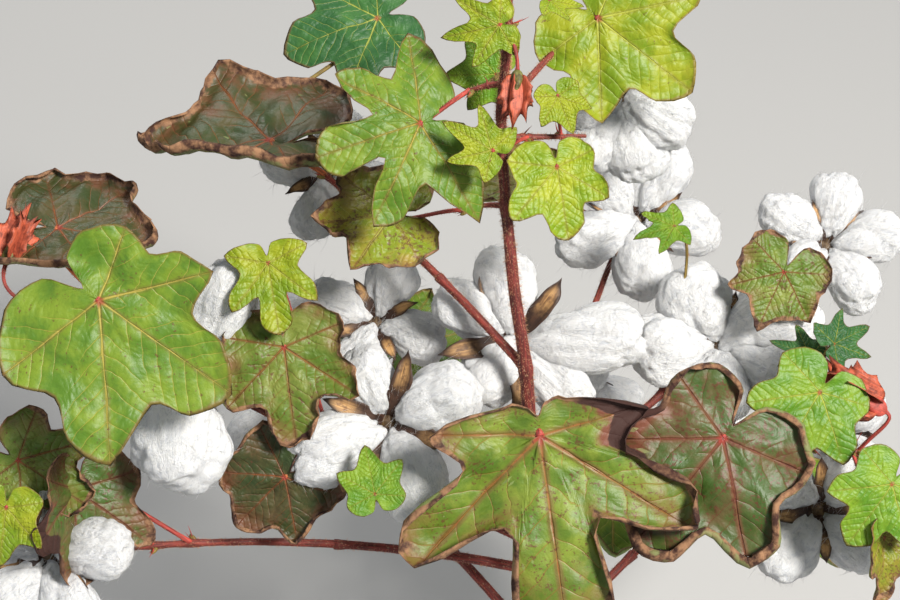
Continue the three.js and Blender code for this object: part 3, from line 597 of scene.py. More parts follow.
class Plan:
    """The whole plan of the plant: every leaf, boll and square with its place."""

    def __init__(self) -> None:
        """Lays out the sunny face, then grows the rest by the rule."""
        self.leaves = [self._face_leaf(i, row) for i, row in enumerate(FACE_LEAVES)]
        self.bolls = [self._face_boll(row) for row in FACE_BOLLS]
        self.squares = [self._face_square(row) for row in FACE_SQUARES]
        self._points: list[Array] = []
        self._radii: list[Array] = []
        self._owners: list[Array] = []
        stem = np.array([stem_point(i / (STEM_SPOTS - 1)) for i in range(STEM_SPOTS)])
        self._take(stem, np.full(STEM_SPOTS, STEM_ROOM), "stem")
        for shoot in SHOOTS:
            line = shoot.line(np.arange(1, LINE_SPOTS + 1) / LINE_SPOTS)
            self._take(line, np.full(LINE_SPOTS, LINE_ROOM), f"{shoot.name} line")
        for organ in [*self.leaves, *self.bolls]:
            self._take(*organ.spots(), "face")
        self._grow()

    @staticmethod
    def _face_leaf(index: int, row: tuple) -> Leaf:
        """Makes a leaf of the sunny face from its row."""
        shoot, at, place, length, turn, lean, form, droop, fold, curl, look, skew = row
        side, midrib, normal = face_frame(turn, lean)
        return Leaf(
            shoot, at, on_face(*place), side, midrib, normal, length, form, droop, fold, curl, skew,
            index * 1.7, length > 30, look,
        )

    @staticmethod
    def _face_boll(row: tuple) -> Boll:
        """Makes a boll of the sunny face from its row."""
        shoot, at, place, lean, locks, bur = row
        side, midrib, normal = face_frame(0, lean)
        return Boll(shoot, at, on_face(*place), side, midrib, normal, locks, bur, True)

    @staticmethod
    def _face_square(row: tuple) -> Square:
        """Makes a square from its row, its axis lying in the face."""
        shoot, at, place, turn, lean, length = row
        _, midrib, normal = face_frame(turn, lean)
        return Square(shoot, at, on_face(*place), np.cross(normal, midrib), normal, midrib, length)

    def _take(self, points: Array, radii: Array, owner: str) -> None:
        """Marks the room that an organ takes."""
        self._points.append(points)
        self._radii.append(radii)
        self._owners.append(np.full(len(points), owner, dtype=object))

    def _has_room(self, points: Array, radii: Array, own: str) -> bool:
        """Tells whether spots stand clear of all that is taken, their own line apart."""
        taken = np.concatenate(self._points)
        limits = np.concatenate(self._radii)
        others = np.concatenate(self._owners) != own
        gaps = np.sqrt(((points[:, None] - taken[None, others]) ** 2).sum(-1))
        return bool((gaps >= radii[:, None] + limits[None, others]).all())

    @staticmethod
    def _is_barred(points: Array) -> bool:
        """Tells whether any point stands over the sunny face or too near the ground."""
        across, up, out = face_of(points)
        over = (abs(across) < FACE_HALF_WIDTH) & (abs(up) < FACE_HALF_HEIGHT) & (out > FACE_DEPTH)
        return bool((over | (points[:, 2] < GROUND_CLEAR)).any())

    @staticmethod
    def _level_aim(shoot: Shoot, at: float, hand: int, swing: float) -> Array:
        """Gives the level direction that leaves a shoot at a swing to one hand."""
        ahead = unit(shoot.line(min(at + 0.02, 1)) - shoot.line(at - 0.02))
        sideways = unit(np.cross(ahead, UP)) * hand
        return ahead * math.cos(swing) + sideways * math.sin(swing)

    def _rule_leaf(self, shoot: Shoot, at: float, hand: int, roll: Roll) -> Leaf:
        """Makes one try of the rule for a leaf at a place on a shoot."""
        level = self._level_aim(shoot, at, hand, math.radians(roll(15, 85)))
        rise = roll(0.05, 0.9)
        aim = unit(np.array([level[0], level[1], 0]) + UP * rise)
        junction = shoot.line(at) + aim * roll(*RULE_STALK)
        outward = unit(np.array([aim[0], aim[1], 0]))
        lean = outward * roll(0.1, 0.8)
        normal = unit(UP + (lean + np.array([roll(-0.3, 0.3), roll(-0.45, 0.1), 0])))
        tip_aim = outward + UP * roll(-0.7, 0)
        midrib = unit(tip_aim - normal * (tip_aim @ normal))
        length = roll(*RULE_LEAF_SIZE) * (1.08 - 0.3 * at)
        form = LeafForm[RULE_FORMS[int(math.floor(roll(0, 3.999)))]]
        droop, fold, curl = roll(0.08, 0.26), roll(0, 0.14), roll(-0.15, 0.55)
        skew, phase = roll(-0.1, 0.1), roll(0, 6)
        look = RULE_LOOKS[int(phase * 97) % len(RULE_LOOKS)]
        return Leaf(
            shoot.name, at, junction, np.cross(midrib, normal), midrib, normal, length, form, droop,
            fold, curl, skew, phase, False, look,
        )

    def _rule_boll(self, shoot: Shoot, at: float, hand: int, roll: Roll) -> Boll:
        """Makes one try of the rule for an open boll at a place on a shoot."""
        level = self._level_aim(shoot, at, -hand, math.radians(roll(10, 80)))
        normal = unit(np.array([level[0], level[1], 0]) + UP * roll(-0.5, 0.7))
        length = roll(*RULE_LOCK)
        middle = shoot.line(at) + normal * (RULE_PEDUNCLE + roll(0, 14))
        midrib = unit(UP - normal * normal[2])
        count = 4 if roll(0, 1) < 0.6 else 5
        locks = even_locks(count, roll(0, 90), length)
        return Boll(shoot.name, at, middle, np.cross(midrib, normal), midrib, normal, locks, RULE_BUR)

    def _settle(self, make: Callable, into: list, shoot: Shoot, at: float, hand: int, roll: Roll) -> None:
        """Tries an organ at a place until one finds room, and keeps that one."""
        for attempt in range(RULE_TRIES):
            organ = make(shoot, at, -hand if attempt % 2 else hand, roll)
            points, radii = organ.spots()
            if self._is_barred(points):
                continue
            far = np.sqrt(((points - organ.start) ** 2).sum(1)) > OWN_ROOM
            if self._has_room(points[far], radii[far], f"{shoot.name} line"):
                into.append(organ)
                self._take(points, radii, f"{shoot.name} organ")
                return

    def _grow(self) -> None:
        """Fills every shoot in turn with the bolls and leaves that find room."""
        roll = Dice(RULE_SEED).roll
        for shoot in SHOOTS:
            for make, into, count, (first, span, late) in (
                (self._rule_boll, self.bolls, shoot.bolls, BOLL_SPREAD),
                (self._rule_leaf, self.leaves, shoot.leaves, LEAF_SPREAD),
            ):
                for i in range(count):
                    at = shoot.bough + first + ((span - shoot.bough) * (i + late)) / count
                    self._settle(make, into, shoot, min(at, 1), -1 if i % 2 else 1, roll)


# Shapes from mesh operators


def arrays_of(bm: bmesh.types.BMesh) -> Pair:
    """Gives a shape's points and triangles and frees it.

    Args:
        bm: The shape; it is triangulated here.

    Returns:
        The points and the triangles.
    """
    bmesh.ops.triangulate(bm, faces=bm.faces[:])
    bm.verts.index_update()
    points = np.array([v.co[:] for v in bm.verts])
    triangles = np.array([[v.index for v in f.verts] for f in bm.faces])
    bm.free()
    return points, triangles


@lru_cache(maxsize=None)
def ball(around: int, bands: int) -> Pair:
    """Makes a unit ball of rings between two poles, as points and triangles."""
    bm = bmesh.new()
    bmesh.ops.create_uvsphere(bm, u_segments=around, v_segments=bands, radius=1)
    return arrays_of(bm)


@lru_cache(maxsize=None)
def even_ball(steps: int) -> Pair:
    """Makes a unit ball of even triangles, as points and triangles."""
    bm = bmesh.new()
    bmesh.ops.create_icosphere(bm, subdivisions=steps, radius=1)
    return arrays_of(bm)


@lru_cache(maxsize=None)
def sleeve(sides: int, bands: int, tip: float = 1.0) -> Pair:
    """Makes a closed unit tube from height 0 to 1, cut into bands.

    Args:
        sides: Faces around.
        bands: Bands along.
        tip: Radius at the far end, 0 for a spike.

    Returns:
        The points and the triangles.
    """
    bm = bmesh.new()
    bmesh.ops.create_cone(bm, cap_ends=True, segments=sides, radius1=1, radius2=tip, depth=1)
    bmesh.ops.translate(bm, verts=bm.verts[:], vec=(0, 0, 0.5))
    long_edges = [e for e in bm.edges if abs(e.verts[0].co.z - e.verts[1].co.z) > 0.5]
    if bands > 1:
        bmesh.ops.subdivide_edges(bm, edges=long_edges, cuts=bands - 1, use_grid_fill=True)
    return arrays_of(bm)


def sheet(around: int, rings: int) -> tuple[Array, Array, Array, Array]:
    """Makes a round sheet with two faces out of a ball, to be laid on any surface.

    Args:
        around: Steps around.
        rings: Rings from the middle to the rim.

    Returns:
        The triangles, and for each point its ring, its turn and its face, which is 1, -1 or 0 on the rim.
    """
    points, triangles = ball(around, rings * 2)
    level = np.round(np.arccos(np.clip(points[:, 2], -1, 1)) / math.pi * 2 * rings).astype(int)
    turn = np.arctan2(points[:, 0], points[:, 1])
    return triangles, np.minimum(level, 2 * rings - level), turn, np.sign(np.round(points[:, 2], 6))


def facing(triangles: Array, axes: Array) -> Array:
    """Gives the triangles, turned over where the axes that carry them are a mirror image."""
    return triangles[:, ::-1] if np.linalg.det(axes) < 0 else triangles


class Ripple:
    """Smooth seeded noise made of crossing waves."""

    def __init__(self, seed: int, waves: int = 9) -> None:
        """Draws the waves' directions and phases from a seed."""
        rng = np.random.default_rng(seed)
        self.ways = unit(rng.normal(size=(waves, 3))) * rng.uniform(0.6, 1.4, (waves, 1))
        self.phases = rng.uniform(0, 2 * math.pi, waves)

    def __call__(self, points: Array, pitch: float) -> Array:
        """Gives values of about -1 to 1 at points, for a wave length in their unit."""
        angle = points @ self.ways.T * (2 * math.pi / pitch) + self.phases
        return np.sin(angle).sum(-1) / math.sqrt(len(self.phases))


def side_axes(aims: Array) -> Pair:
    """Gives two axes square to each of many directions."""
    guide = np.where(np.abs(aims[:, 2:3]) > 0.85, [[1.0, 0, 0]], [[0, 0, 1.0]])
    first = unit(np.cross(aims, guide))
    return first, np.cross(aims, first)


def deal(shape: Pair, bases: Array, aims: Array, lengths: Array, radii: Array, bends: Array) -> Pair:
    """Deals one small upright shape out to many places.

    Args:
        shape: Points and triangles of the shape, from height 0 to 1.
        bases: Foot of each copy.
        aims: Direction of each copy.
        lengths: Length of each copy.
        radii: Radius of each copy.
        bends: How far the tip of each copy leans over, as a vector.

    Returns:
        The points and triangles of all copies.
    """
    points, triangles = shape
    first, second = side_axes(aims)
    x, y, z = points.T
    out = bases[:, None] + (first * radii[:, None])[:, None] * x[None, :, None]
    out += (second * radii[:, None])[:, None] * y[None, :, None]
    out += (aims * lengths[:, None])[:, None] * z[None, :, None]
    out += bends[:, None] * (z * z)[None, :, None]
    faces = triangles[None] + (np.arange(len(bases)) * len(points))[:, None, None]
    return out.reshape(-1, 3), faces.reshape(-1, 3)


class Heap:
    """Collects shapes with their point values and joins them into one piece."""

    def __init__(self) -> None:
        """Starts empty."""
        self.points: list[Array] = []
        self.triangles: list[Array] = []
        self.values: dict[str, list[Array]] = {}
        self.count = 0

    def add(self, points: Array, triangles: Array, **values: Array) -> None:
        """Adds a shape in millimetres.

        Args:
            points: Its points.
            triangles: Its triangles.
            **values: Named values for its points, one row for all or one for each.
        """
        self.points.append(points)
        self.triangles.append(triangles + self.count)
        self.count += len(points)
        for name, value in values.items():
            rows = np.broadcast_to(np.asarray(value, float), (len(points), np.shape(value)[-1]))
            self.values.setdefault(name, []).append(rows)

    def piece(self, name: str, finish: "Finish") -> Thing:
        """Joins what was added into one object in metres.

        Args:
            name: Name of the piece.
            finish: Its finish.

        Returns:
            The object.
        """
        points = np.concatenate(self.points) * MM
        triangles = np.concatenate(self.triangles).astype(np.int32)
        mesh = bpy.data.meshes.new(name)
        mesh.vertices.add(len(points))
        mesh.vertices.foreach_set("co", points.ravel())
        mesh.loops.add(triangles.size)
        mesh.loops.foreach_set("vertex_index", triangles.ravel())
        mesh.polygons.add(len(triangles))
        mesh.polygons.foreach_set("loop_start", np.arange(0, triangles.size, 3, dtype=np.int32))
        mesh.polygons.foreach_set("use_smooth", np.ones(len(triangles), bool))
        for label, rows in self.values.items():
            self._store(mesh, label, np.concatenate(rows), triangles)
        mesh.update(calc_edges=True)
        mesh.validate()
        mesh.materials.append(finish.material())
        thing = bpy.data.objects.new(name, mesh)
        bpy.context.scene.collection.objects.link(thing)
        log.info("%s: %d triangles", name, len(triangles))
        return thing

    @staticmethod
    def _store(mesh: bpy.types.Mesh, label: str, rows: Array, triangles: Array) -> None:
        """Stores one value on the mesh: pairs as a map, threes as vectors, fours as colours."""
        if rows.shape[1] == 2:
            mesh.uv_layers.new(name=label).data.foreach_set("uv", rows[triangles.ravel()].ravel())
            return
        kind, field = {3: ("FLOAT_VECTOR", "vector"), 4: ("FLOAT_COLOR", "color")}[rows.shape[1]]
        mesh.attributes.new(label, kind, "POINT").data.foreach_set(field, rows.ravel())


def shade(colour: Sequence[float], rest: float = 1.0) -> Array:
    """Gives a colour as a row of four values."""
    return np.array([*colour[:3], rest], float)


# Shader wiring


class Bench:
    """Wires shader nodes in one tree with short calls."""

    def __init__(self, tree: bpy.types.NodeTree) -> None:
        """Takes the tree that the nodes go into."""
        self.tree = tree

    def node(self, kind: str, **settings: object) -> Node:
        """Adds a node and sets its options."""
        made = self.tree.nodes.new(kind)
        for name, value in settings.items():
            setattr(made, name, value)
        return made

    def feed(self, socket: Socket, value: object) -> None:
        """Links a socket to another, or sets its value."""
        if isinstance(value, bpy.types.NodeSocket):
            self.tree.links.new(value, socket)
        elif isinstance(value, (tuple, list)) and len(value) == 3 and socket.type == "RGBA":
            socket.default_value = (*value, 1)
        else:
            socket.default_value = value

    def feed_all(self, node: Node, given: dict[str, object]) -> None:
        """Feeds several sockets of a node by name."""
        for name, value in given.items():
            self.feed(node.inputs[name], value)

    def math(self, operation: str, *given: object, clamp: bool = False) -> Socket:
        """Adds a sum of up to three numbers and gives its result."""
        made = self.node("ShaderNodeMath", operation=operation, use_clamp=clamp)
        for socket, value in zip(made.inputs, given):
            self.feed(socket, value)
        return made.outputs[0]

    def times(self, a: object, b: object) -> Socket:
        """Gives a times b."""
        return self.math("MULTIPLY", a, b)

    def plus(self, a: object, b: object) -> Socket:
        """Gives a plus b."""
        return self.math("ADD", a, b)

    def minus(self, a: object, b: object) -> Socket:
        """Gives a minus b."""
        return self.math("SUBTRACT", a, b)

    def scaled(self, a: object, b: object, c: object) -> Socket:
        """Gives a times b plus c."""
        return self.math("MULTIPLY_ADD", a, b, c)

    def fit(self, value: object, low: object, high: object, least: float = 0.0, most: float = 1.0) -> Socket:
        """Maps a value smoothly from the range low to high to the range least to most and holds it there."""
        made = self.node("ShaderNodeMapRange", interpolation_type="SMOOTHSTEP")
        given = {"Value": value, "From Min": low, "From Max": high, "To Min": least, "To Max": most}
        self.feed_all(made, given)
        return made.outputs[0]

    def blend(self, share: object, a: object, b: object, kind: str = "MIX") -> Socket:
        """Mixes two colours and gives the result."""
        made = self.node("ShaderNodeMix", data_type="RGBA", blend_type=kind)
        self.feed(made.inputs[0], share)
        self.feed(made.inputs[6], a)
        self.feed(made.inputs[7], b)
        return made.outputs[2]

    def tint(self, colour: object, by: Triple) -> Socket:
        """Multiplies a colour by another and gives the result."""
        return self.blend(1.0, colour, by, "MULTIPLY")

    def split(self, value: object, kind: str = "XYZ") -> Sequence[Socket]:
        """Takes a vector or, with kind Color, a colour apart."""
        made = self.node(f"ShaderNodeSeparate{kind}")
        self.feed(made.inputs[0], value)
        return made.outputs

    def place(self) -> Socket:
        """Gives the place on the object, in metres."""
        return self.node("ShaderNodeTexCoord").outputs["Object"]

    def value(self, name: str) -> Node:
        """Adds a reader of a value stored on the mesh."""
        return self.node("ShaderNodeAttribute", attribute_type="GEOMETRY", attribute_name=name)

    def noise(
        self, place: Socket, pitch: float, detail: float = 3.0, rough: float = 0.55, twist: float = 0.0
    ) -> Socket:
        """Adds noise at a place, for a grain pitch in the place's unit, and gives its value."""
        made = self.node("ShaderNodeTexNoise")
        self.feed_all(made, {"Vector": place, "Scale": 1 / pitch, "Detail": detail})
        self.feed_all(made, {"Roughness": rough, "Distortion": twist})
        return made.outputs[0]

    def cells(self, place: Socket, pitch: float, feature: str = "F1") -> Node:
        """Adds a cell pattern at a place, for a cell pitch in the place's unit."""
        made = self.node("ShaderNodeTexVoronoi", feature=feature)
        self.feed_all(made, {"Vector": place, "Scale": 1 / pitch})
        return made

    def stretch(self, place: Socket, scale: Sequence[float]) -> Socket:
        """Scales a place by axis and gives it."""
        made = self.node("ShaderNodeVectorMath", operation="MULTIPLY")
        self.feed(made.inputs[0], place)
        made.inputs[1].default_value = scale
        return made.outputs[0]

    def bump(self, height: Socket, depth: float, strength: float = 0.8) -> Socket:
        """Turns a height into a normal."""
        made = self.node("ShaderNodeBump")
        self.feed_all(made, {"Height": height, "Strength": strength, "Distance": depth})
        return made.outputs[0]


def effect(name: str, takes: dict[str, str], gives: dict[str, str], wire: Callable) -> bpy.types.NodeTree:
    """Makes a shader node group once.

    Args:
        name: Its name.
        takes: Kinds of its inputs by name.
        gives: Kinds of its outputs by name.
        wire: Wires it, from a bench and the inputs to a result for each output.

    Returns:
        The group.
    """
    if name in bpy.data.node_groups:
        return bpy.data.node_groups[name]
    group = bpy.data.node_groups.new(name, "ShaderNodeTree")
    for way, sockets in (("INPUT", takes), ("OUTPUT", gives)):
        for label, kind in sockets.items():
            group.interface.new_socket(label, in_out=way, socket_type=f"NodeSocket{kind}")
    bench = Bench(group)
    inlet, outlet = bench.node("NodeGroupInput"), bench.node("NodeGroupOutput")
    bench.feed_all(outlet, wire(bench, {label: inlet.outputs[label] for label in takes}))
    return group


def use(bench: Bench, group: bpy.types.NodeTree, **given: object) -> dict[str, Socket]:
    """Places a group in a tree, feeds it and gives its outputs by name."""
    made = bench.node("ShaderNodeGroup", node_tree=group)
    bench.feed_all(made, given)
    return {socket.name: socket for socket in made.outputs}


VEIN_MASKS = ("Main", "Halo", "Side", "Net", "Edge", "Height")
GRAIN_MASKS = ("Streak", "Patch", "Pore")
MAIN_RAY_TURN = math.radians(48)
BASAL_RAY_TURN = math.radians(106)


def wire_veins(bench: Bench, given: dict[str, Socket]) -> dict[str, Socket]:
    """Wires the vein net of a lobed blade from its flat place: side, midrib and share of the reach."""
    flat = given["Blade"]
    across, y, _ = bench.split(flat)
    x = bench.math("ABSOLUTE", across)
    turn = bench.math("ARCTAN2", x, y)
    reach = bench.math("SQRT", bench.plus(bench.times(x, x), bench.times(y, y)))
    past_first = bench.math("GREATER_THAN", turn, MAIN_RAY_TURN / 2)
    past_second = bench.math("GREATER_THAN", turn, (MAIN_RAY_TURN + BASAL_RAY_TURN) / 2)
    ray = bench.scaled(past_first, MAIN_RAY_TURN, bench.times(past_second, BASAL_RAY_TURN - MAIN_RAY_TURN))
    off = bench.minus(turn, ray)
    along = bench.times(reach, bench.math("COSINE", off))
    beside = bench.math("ABSOLUTE", bench.times(reach, bench.math("SINE", off)))
    wobble = bench.scaled(bench.noise(flat, 0.3, 2), 0.02, -0.01)
    shift = bench.math("ABSOLUTE", bench.plus(beside, wobble))
    width = bench.math("MAXIMUM", bench.scaled(along, -0.0085, 0.01), 0.0026)
    main = bench.math("SUBTRACT", 1.0, bench.math("DIVIDE", shift, width), clamp=True)
    halo = bench.fit(shift, 0.07, 0.0)
    curve = bench.scaled(bench.times(beside, beside), 0.9, bench.times(beside, 0.8))
    jitter = bench.scaled(bench.noise(flat, 0.34, 2), 0.9, -0.45)
    chevron = bench.math("FRACT", bench.scaled(bench.minus(along, curve), 9.5, jitter))
    ridge = bench.times(bench.math("ABSOLUTE", bench.minus(chevron, 0.5)), 2.0)
    inside = bench.fit(bench.math("DIVIDE", beside, bench.math("MAXIMUM", along, 0.05)), 0.46, 0.3)
    side = bench.times(bench.fit(ridge, 0.9, 1.0), inside)
    net = bench.fit(bench.cells(flat, 0.052, "DISTANCE_TO_EDGE").outputs["Distance"], 0.1, 0.0)
    quilt = bench.fit(bench.cells(flat, 0.075).outputs["Distance"], 0.75, 0.0)
    bulge = bench.times(bench.minus(1.0, bench.math("POWER", ridge, 3.0)), inside)
    sunk = bench.math("MAXIMUM", bench.times(main, 0.8), bench.times(side, 0.12))
    swell = bench.scaled(bulge, 0.42, bench.times(quilt, 0.3))
    raised = bench.scaled(bench.noise(flat, 0.1, 2, 0.5), 0.6, swell)
    edge = bench.times(bench.fit(shift, 0.026, 0.008), bench.minus(1.0, main))
    return dict(zip(VEIN_MASKS, (main, halo, side, net, edge, bench.minus(raised, sunk))))


def wire_grain(bench: Bench, given: dict[str, Socket]) -> dict[str, Socket]:
    """Wires the lengthwise grain and pale pores of a stem from its place around and along."""
    limb = given["Limb"]
    streak = bench.noise(bench.stretch(limb, (1.0, 0.09, 1.0)), 0.9, 4, 0.6)
    patch = bench.noise(limb, 14.0)
    pore = bench.cells(bench.stretch(limb, (1.0, 0.6, 1.0)), 1.3)
    picked = bench.math("LESS_THAN", bench.split(pore.outputs["Color"], "Color")[0], 0.3)
    dot = bench.fit(pore.outputs["Distance"], 0.42, 0.16)
    return dict(zip(GRAIN_MASKS, (streak, patch, bench.times(dot, picked))))


def leaf_veins(bench: Bench, blade: Socket) -> dict[str, Socket]:
    """Places the vein net in a material and gives its masks."""
    group = effect("leaf_veins", {"Blade": "Vector"}, dict.fromkeys(VEIN_MASKS, "Float"), wire_veins)
    return use(bench, group, Blade=blade)


def stem_grain(bench: Bench, limb: Socket) -> dict[str, Socket]:
    """Places the grain of a stem in a material and gives its masks."""
    group = effect("stem_grain", {"Limb": "Vector"}, dict.fromkeys(GRAIN_MASKS, "Float"), wire_grain)
    return use(bench, group, Limb=limb)


@dataclass(frozen=True)
class Finish:
    """A finish: the material's name and how rough it is."""

    name: str
    rough: float

    def wire(self, bench: Bench, shader: Node) -> None:
        """Wires the finish's own pattern."""
        raise NotImplementedError

    def material(self) -> bpy.types.Material:
        """Makes the material once and gives it.

        Returns:
            The material.
        """
        if self.name in bpy.data.materials:
            return bpy.data.materials[self.name]
        made = bpy.data.materials.new(self.name)
        made.use_nodes = True
        tree = made.node_tree
        tree.nodes.clear()
        bench = Bench(tree)
        shader = bench.node("ShaderNodeBsdfPrincipled")
        outlet = bench.node("ShaderNodeOutputMaterial")
        tree.links.new(shader.outputs[0], outlet.inputs[0])
        shader.inputs["Roughness"].default_value = self.rough
        self.wire(bench, shader)
        return made


@dataclass(frozen=True)
class BladeFinish(Finish):
    """Living and dying leaf: green tones, vein net, spots and a dead rim. Pitches are in metres."""

    name: str = "leaf_blade"
    rough: float = 0.4
    speck: Triple = srgb(92, 48, 34)
    stain: Triple = srgb(112, 66, 48)
    straw: Triple = srgb(150, 112, 82)
    burnt: Triple = srgb(58, 34, 28)
    under: Triple = srgb(136, 148, 92)
    heart: Triple = srgb(146, 52, 44)
    net_shadow: Triple = (0.6, 0.68, 0.55)
    cloud_pitch: float = 0.016
    clump_pitch: float = 0.012
    speck_pitch: float = 0.0019
    worn_pitch: float = 0.007
    pimple_pitch: float = 0.0011
    relief: float = 0.0009

    def wire(self, bench: Bench, shader: Node) -> None:
        """Wires colour, gloss and relief of the blade."""
        blade = bench.value("blade").outputs["Vector"]
        dead, spots, below = bench.split(bench.value("wear").outputs["Color"], "Color")
        veins = leaf_veins(bench, blade)
        place = bench.place()
        share = bench.split(blade)[2]
        cloud = bench.noise(place, self.cloud_pitch, 4, 0.6)
        colour = self.spotted(bench, self.living(bench, veins, cloud), veins, place, share, spots)
        ragged = bench.scaled(bench.noise(blade, 0.2, 4, 0.62), 0.5, -0.25)
        edge = bench.plus(share, ragged)
        start = bench.scaled(dead, -0.2, 1.07)
        flush = bench.fit(edge, bench.scaled(dead, -0.42, bench.minus(start, 0.06)), start)
        flush = bench.times(flush, bench.fit(cloud, 0.43, 0.6, 0.2, 1.0))
        colour = bench.blend(bench.times(bench.times(flush, dead), 0.8), colour, self.stain)
        colour = bench.blend(bench.times(below, 0.5), colour, self.under)
        line = bench.fit(bench.scaled(ragged, 0.06, share), 0.955, 0.985)
        colour = bench.blend(bench.times(line, 0.6), colour, self.stain)
        rim = bench.fit(edge, bench.minus(start, 0.03), bench.plus(start, 0.03))
        rim = bench.times(rim, bench.fit(dead, 0.08, 0.5))
        mottle = bench.fit(bench.noise(place, self.worn_pitch, 5, 0.62), 0.36, 0.62)
        dry = bench.blend(bench.times(mottle, bench.fit(dead, 1.8, 1.0)), self.burnt, self.straw)
        gloss = bench.scaled(rim, 0.3, bench.scaled(below, 0.2, self.rough))
        fine = bench.scaled(bench.noise(place, self.pimple_pitch), 0.22, veins["Height"])
        given = {
            "Base Color": bench.blend(rim, colour, dry),
            "Specular IOR Level": 0.38,
            "Roughness": bench.scaled(cloud, 0.14, gloss),
            "Normal": bench.bump(fine, self.relief, 0.75),
        }
        bench.feed_all(shader, given)

    def living(self, bench: Bench, veins: dict[str, Socket], cloud: Socket) -> Socket:
        """Wires the green of the blade with its vein net.

        Args:
            bench: Bench of the material.
            veins: Masks of the vein net.
            cloud: Cloudy mask.

        Returns:
            The colour.
        """
        tone, patch, vein = (bench.value(name).outputs["Color"] for name in ("tone", "patch", "vein"))
        colour = bench.blend(bench.fit(cloud, 0.38, 0.66), tone, patch)
        colour = bench.blend(bench.times(veins["Halo"], 0.35), colour, patch)
        colour = bench.blend(bench.times(veins["Net"], 0.2), colour, bench.tint(colour, self.net_shadow))
        colour = bench.blend(bench.times(veins["Side"], 0.42), colour, vein)
        return bench.blend(bench.times(veins["Main"], 0.85), colour, vein)

    def spotted(
        self,
        bench: Bench,
        colour: Socket,
        veins: dict[str, Socket],
        place: Socket,
        share: Socket,
        spots: Socket,
    ) -> Socket:
        """Wires the stains beside the veins, the red heart and the specks.

        Args:
            bench: Bench of the material.
            colour: Colour of the living blade.
            veins: Masks of the vein net.
            place: Place on the object.
            share: Share of the reach.
            spots: How spotted the leaf is.

        Returns:
            The colour.
        """
        beside = bench.times(bench.times(veins["Edge"], spots), 0.55)
        colour = bench.blend(beside, colour, self.stain)
        colour = bench.blend(bench.times(bench.fit(share, 0.065, 0.02), 0.85), colour, self.heart)
        clump = bench.times(bench.fit(bench.noise(place, self.clump_pitch), 0.32, 0.62), spots)
        least = bench.scaled(clump, -0.17, 0.69)
        specks = bench.fit(bench.noise(place, self.speck_pitch, 4, 0.62), least, bench.plus(least, 0.07))
        return bench.blend(bench.times(specks, 0.72), colour, self.speck)


@dataclass(frozen=True)
class StemFinish(Finish):
    """Stem, twig and stalk: own hue with lengthwise grain, pale pores and a dull skin."""

    name: str = "stem_bark"
    rough: float = 0.62
    pore: Triple = srgb(176, 142, 112)
    dark: Triple = (0.42, 0.38, 0.36)
    light: Triple = (1.55, 1.4, 1.25)
    relief: float = 0.00035

    def wire(self, bench: Bench, shader: Node) -> None:
        """Wires colour, gloss and relief of the bark."""
        hue = bench.value("hue").outputs
        grain = stem_grain(bench, bench.value("limb").outputs["Vector"])
        dark, light = (bench.tint(hue["Color"], by) for by in (self.dark, self.light))
        colour = bench.blend(bench.fit(grain["Streak"], 0.3, 0.7), dark, light)
        colour = bench.blend(bench.times(bench.fit(grain["Patch"], 0.45, 0.7), 0.5), colour, dark)
        colour = bench.blend(bench.times(grain["Pore"], hue["Alpha"]), colour, self.pore)
        height = bench.plus(grain["Streak"], bench.times(grain["Pore"], 0.5))
        given = {
            "Base Color": colour,
            "Roughness": bench.scaled(grain["Streak"], 0.2, self.rough - 0.1),
            "Normal": bench.bump(height, self.relief),
        }
        bench.feed_all(shader, given)


@dataclass(frozen=True)
class FluffFinish(Finish):
    """Open cotton: white matted fibre with soft creases and painted bluish-grey shade in its streaks. Pitches
    are in millimetres on the lock.
    """

    name: str = "cotton_fluff"
    rough: float = 0.95
    white: Triple = srgb(249, 249, 249)
    # Painted shade: a bluish grey that stands for the fluff's shaded streaks
    shade: Triple = srgb(222, 224, 228)
    strand_pitch: float = 1.7
    tangle_pitch: float = 3.0
    tuft_pitch: float = 9.0
    relief: float = 0.0034

    def wire(self, bench: Bench, shader: Node) -> None:
        """Wires colour, with painted shade in its streaks, and fibre relief of the fluff."""
        lock = bench.value("lock").outputs["Vector"]
        strand = bench.noise(bench.stretch(lock, (1.0, 0.16, 1.0)), self.strand_pitch, 6, 0.74, 1.6)
        tangle = bench.noise(lock, self.tangle_pitch, 6, 0.75, 2.6)
        tuft = bench.noise(lock, self.tuft_pitch, 3, 0.6, 1.6)
        # Painted shade: this noise mask mixes the bluish-grey shade colour into the white fibre
        thin = bench.scaled(tuft, 0.6, bench.times(strand, 0.7))
        height = bench.scaled(tuft, 1.5, bench.scaled(tangle, 0.6, bench.times(strand, 1.5)))
        given = {
            "Base Color": bench.blend(bench.fit(thin, 0.5, 0.68), self.shade, self.white),
            "Sheen Weight": 0.35,
            "Sheen Roughness": 0.5,
            "Subsurface Weight": 0.4,
            "Subsurface Radius": (1.0, 0.96, 0.9),
            "Subsurface Scale": 0.003,
            "Specular IOR Level": 0.08,
            "Normal": bench.bump(height, self.relief),
        }
        bench.feed_all(shader, given)


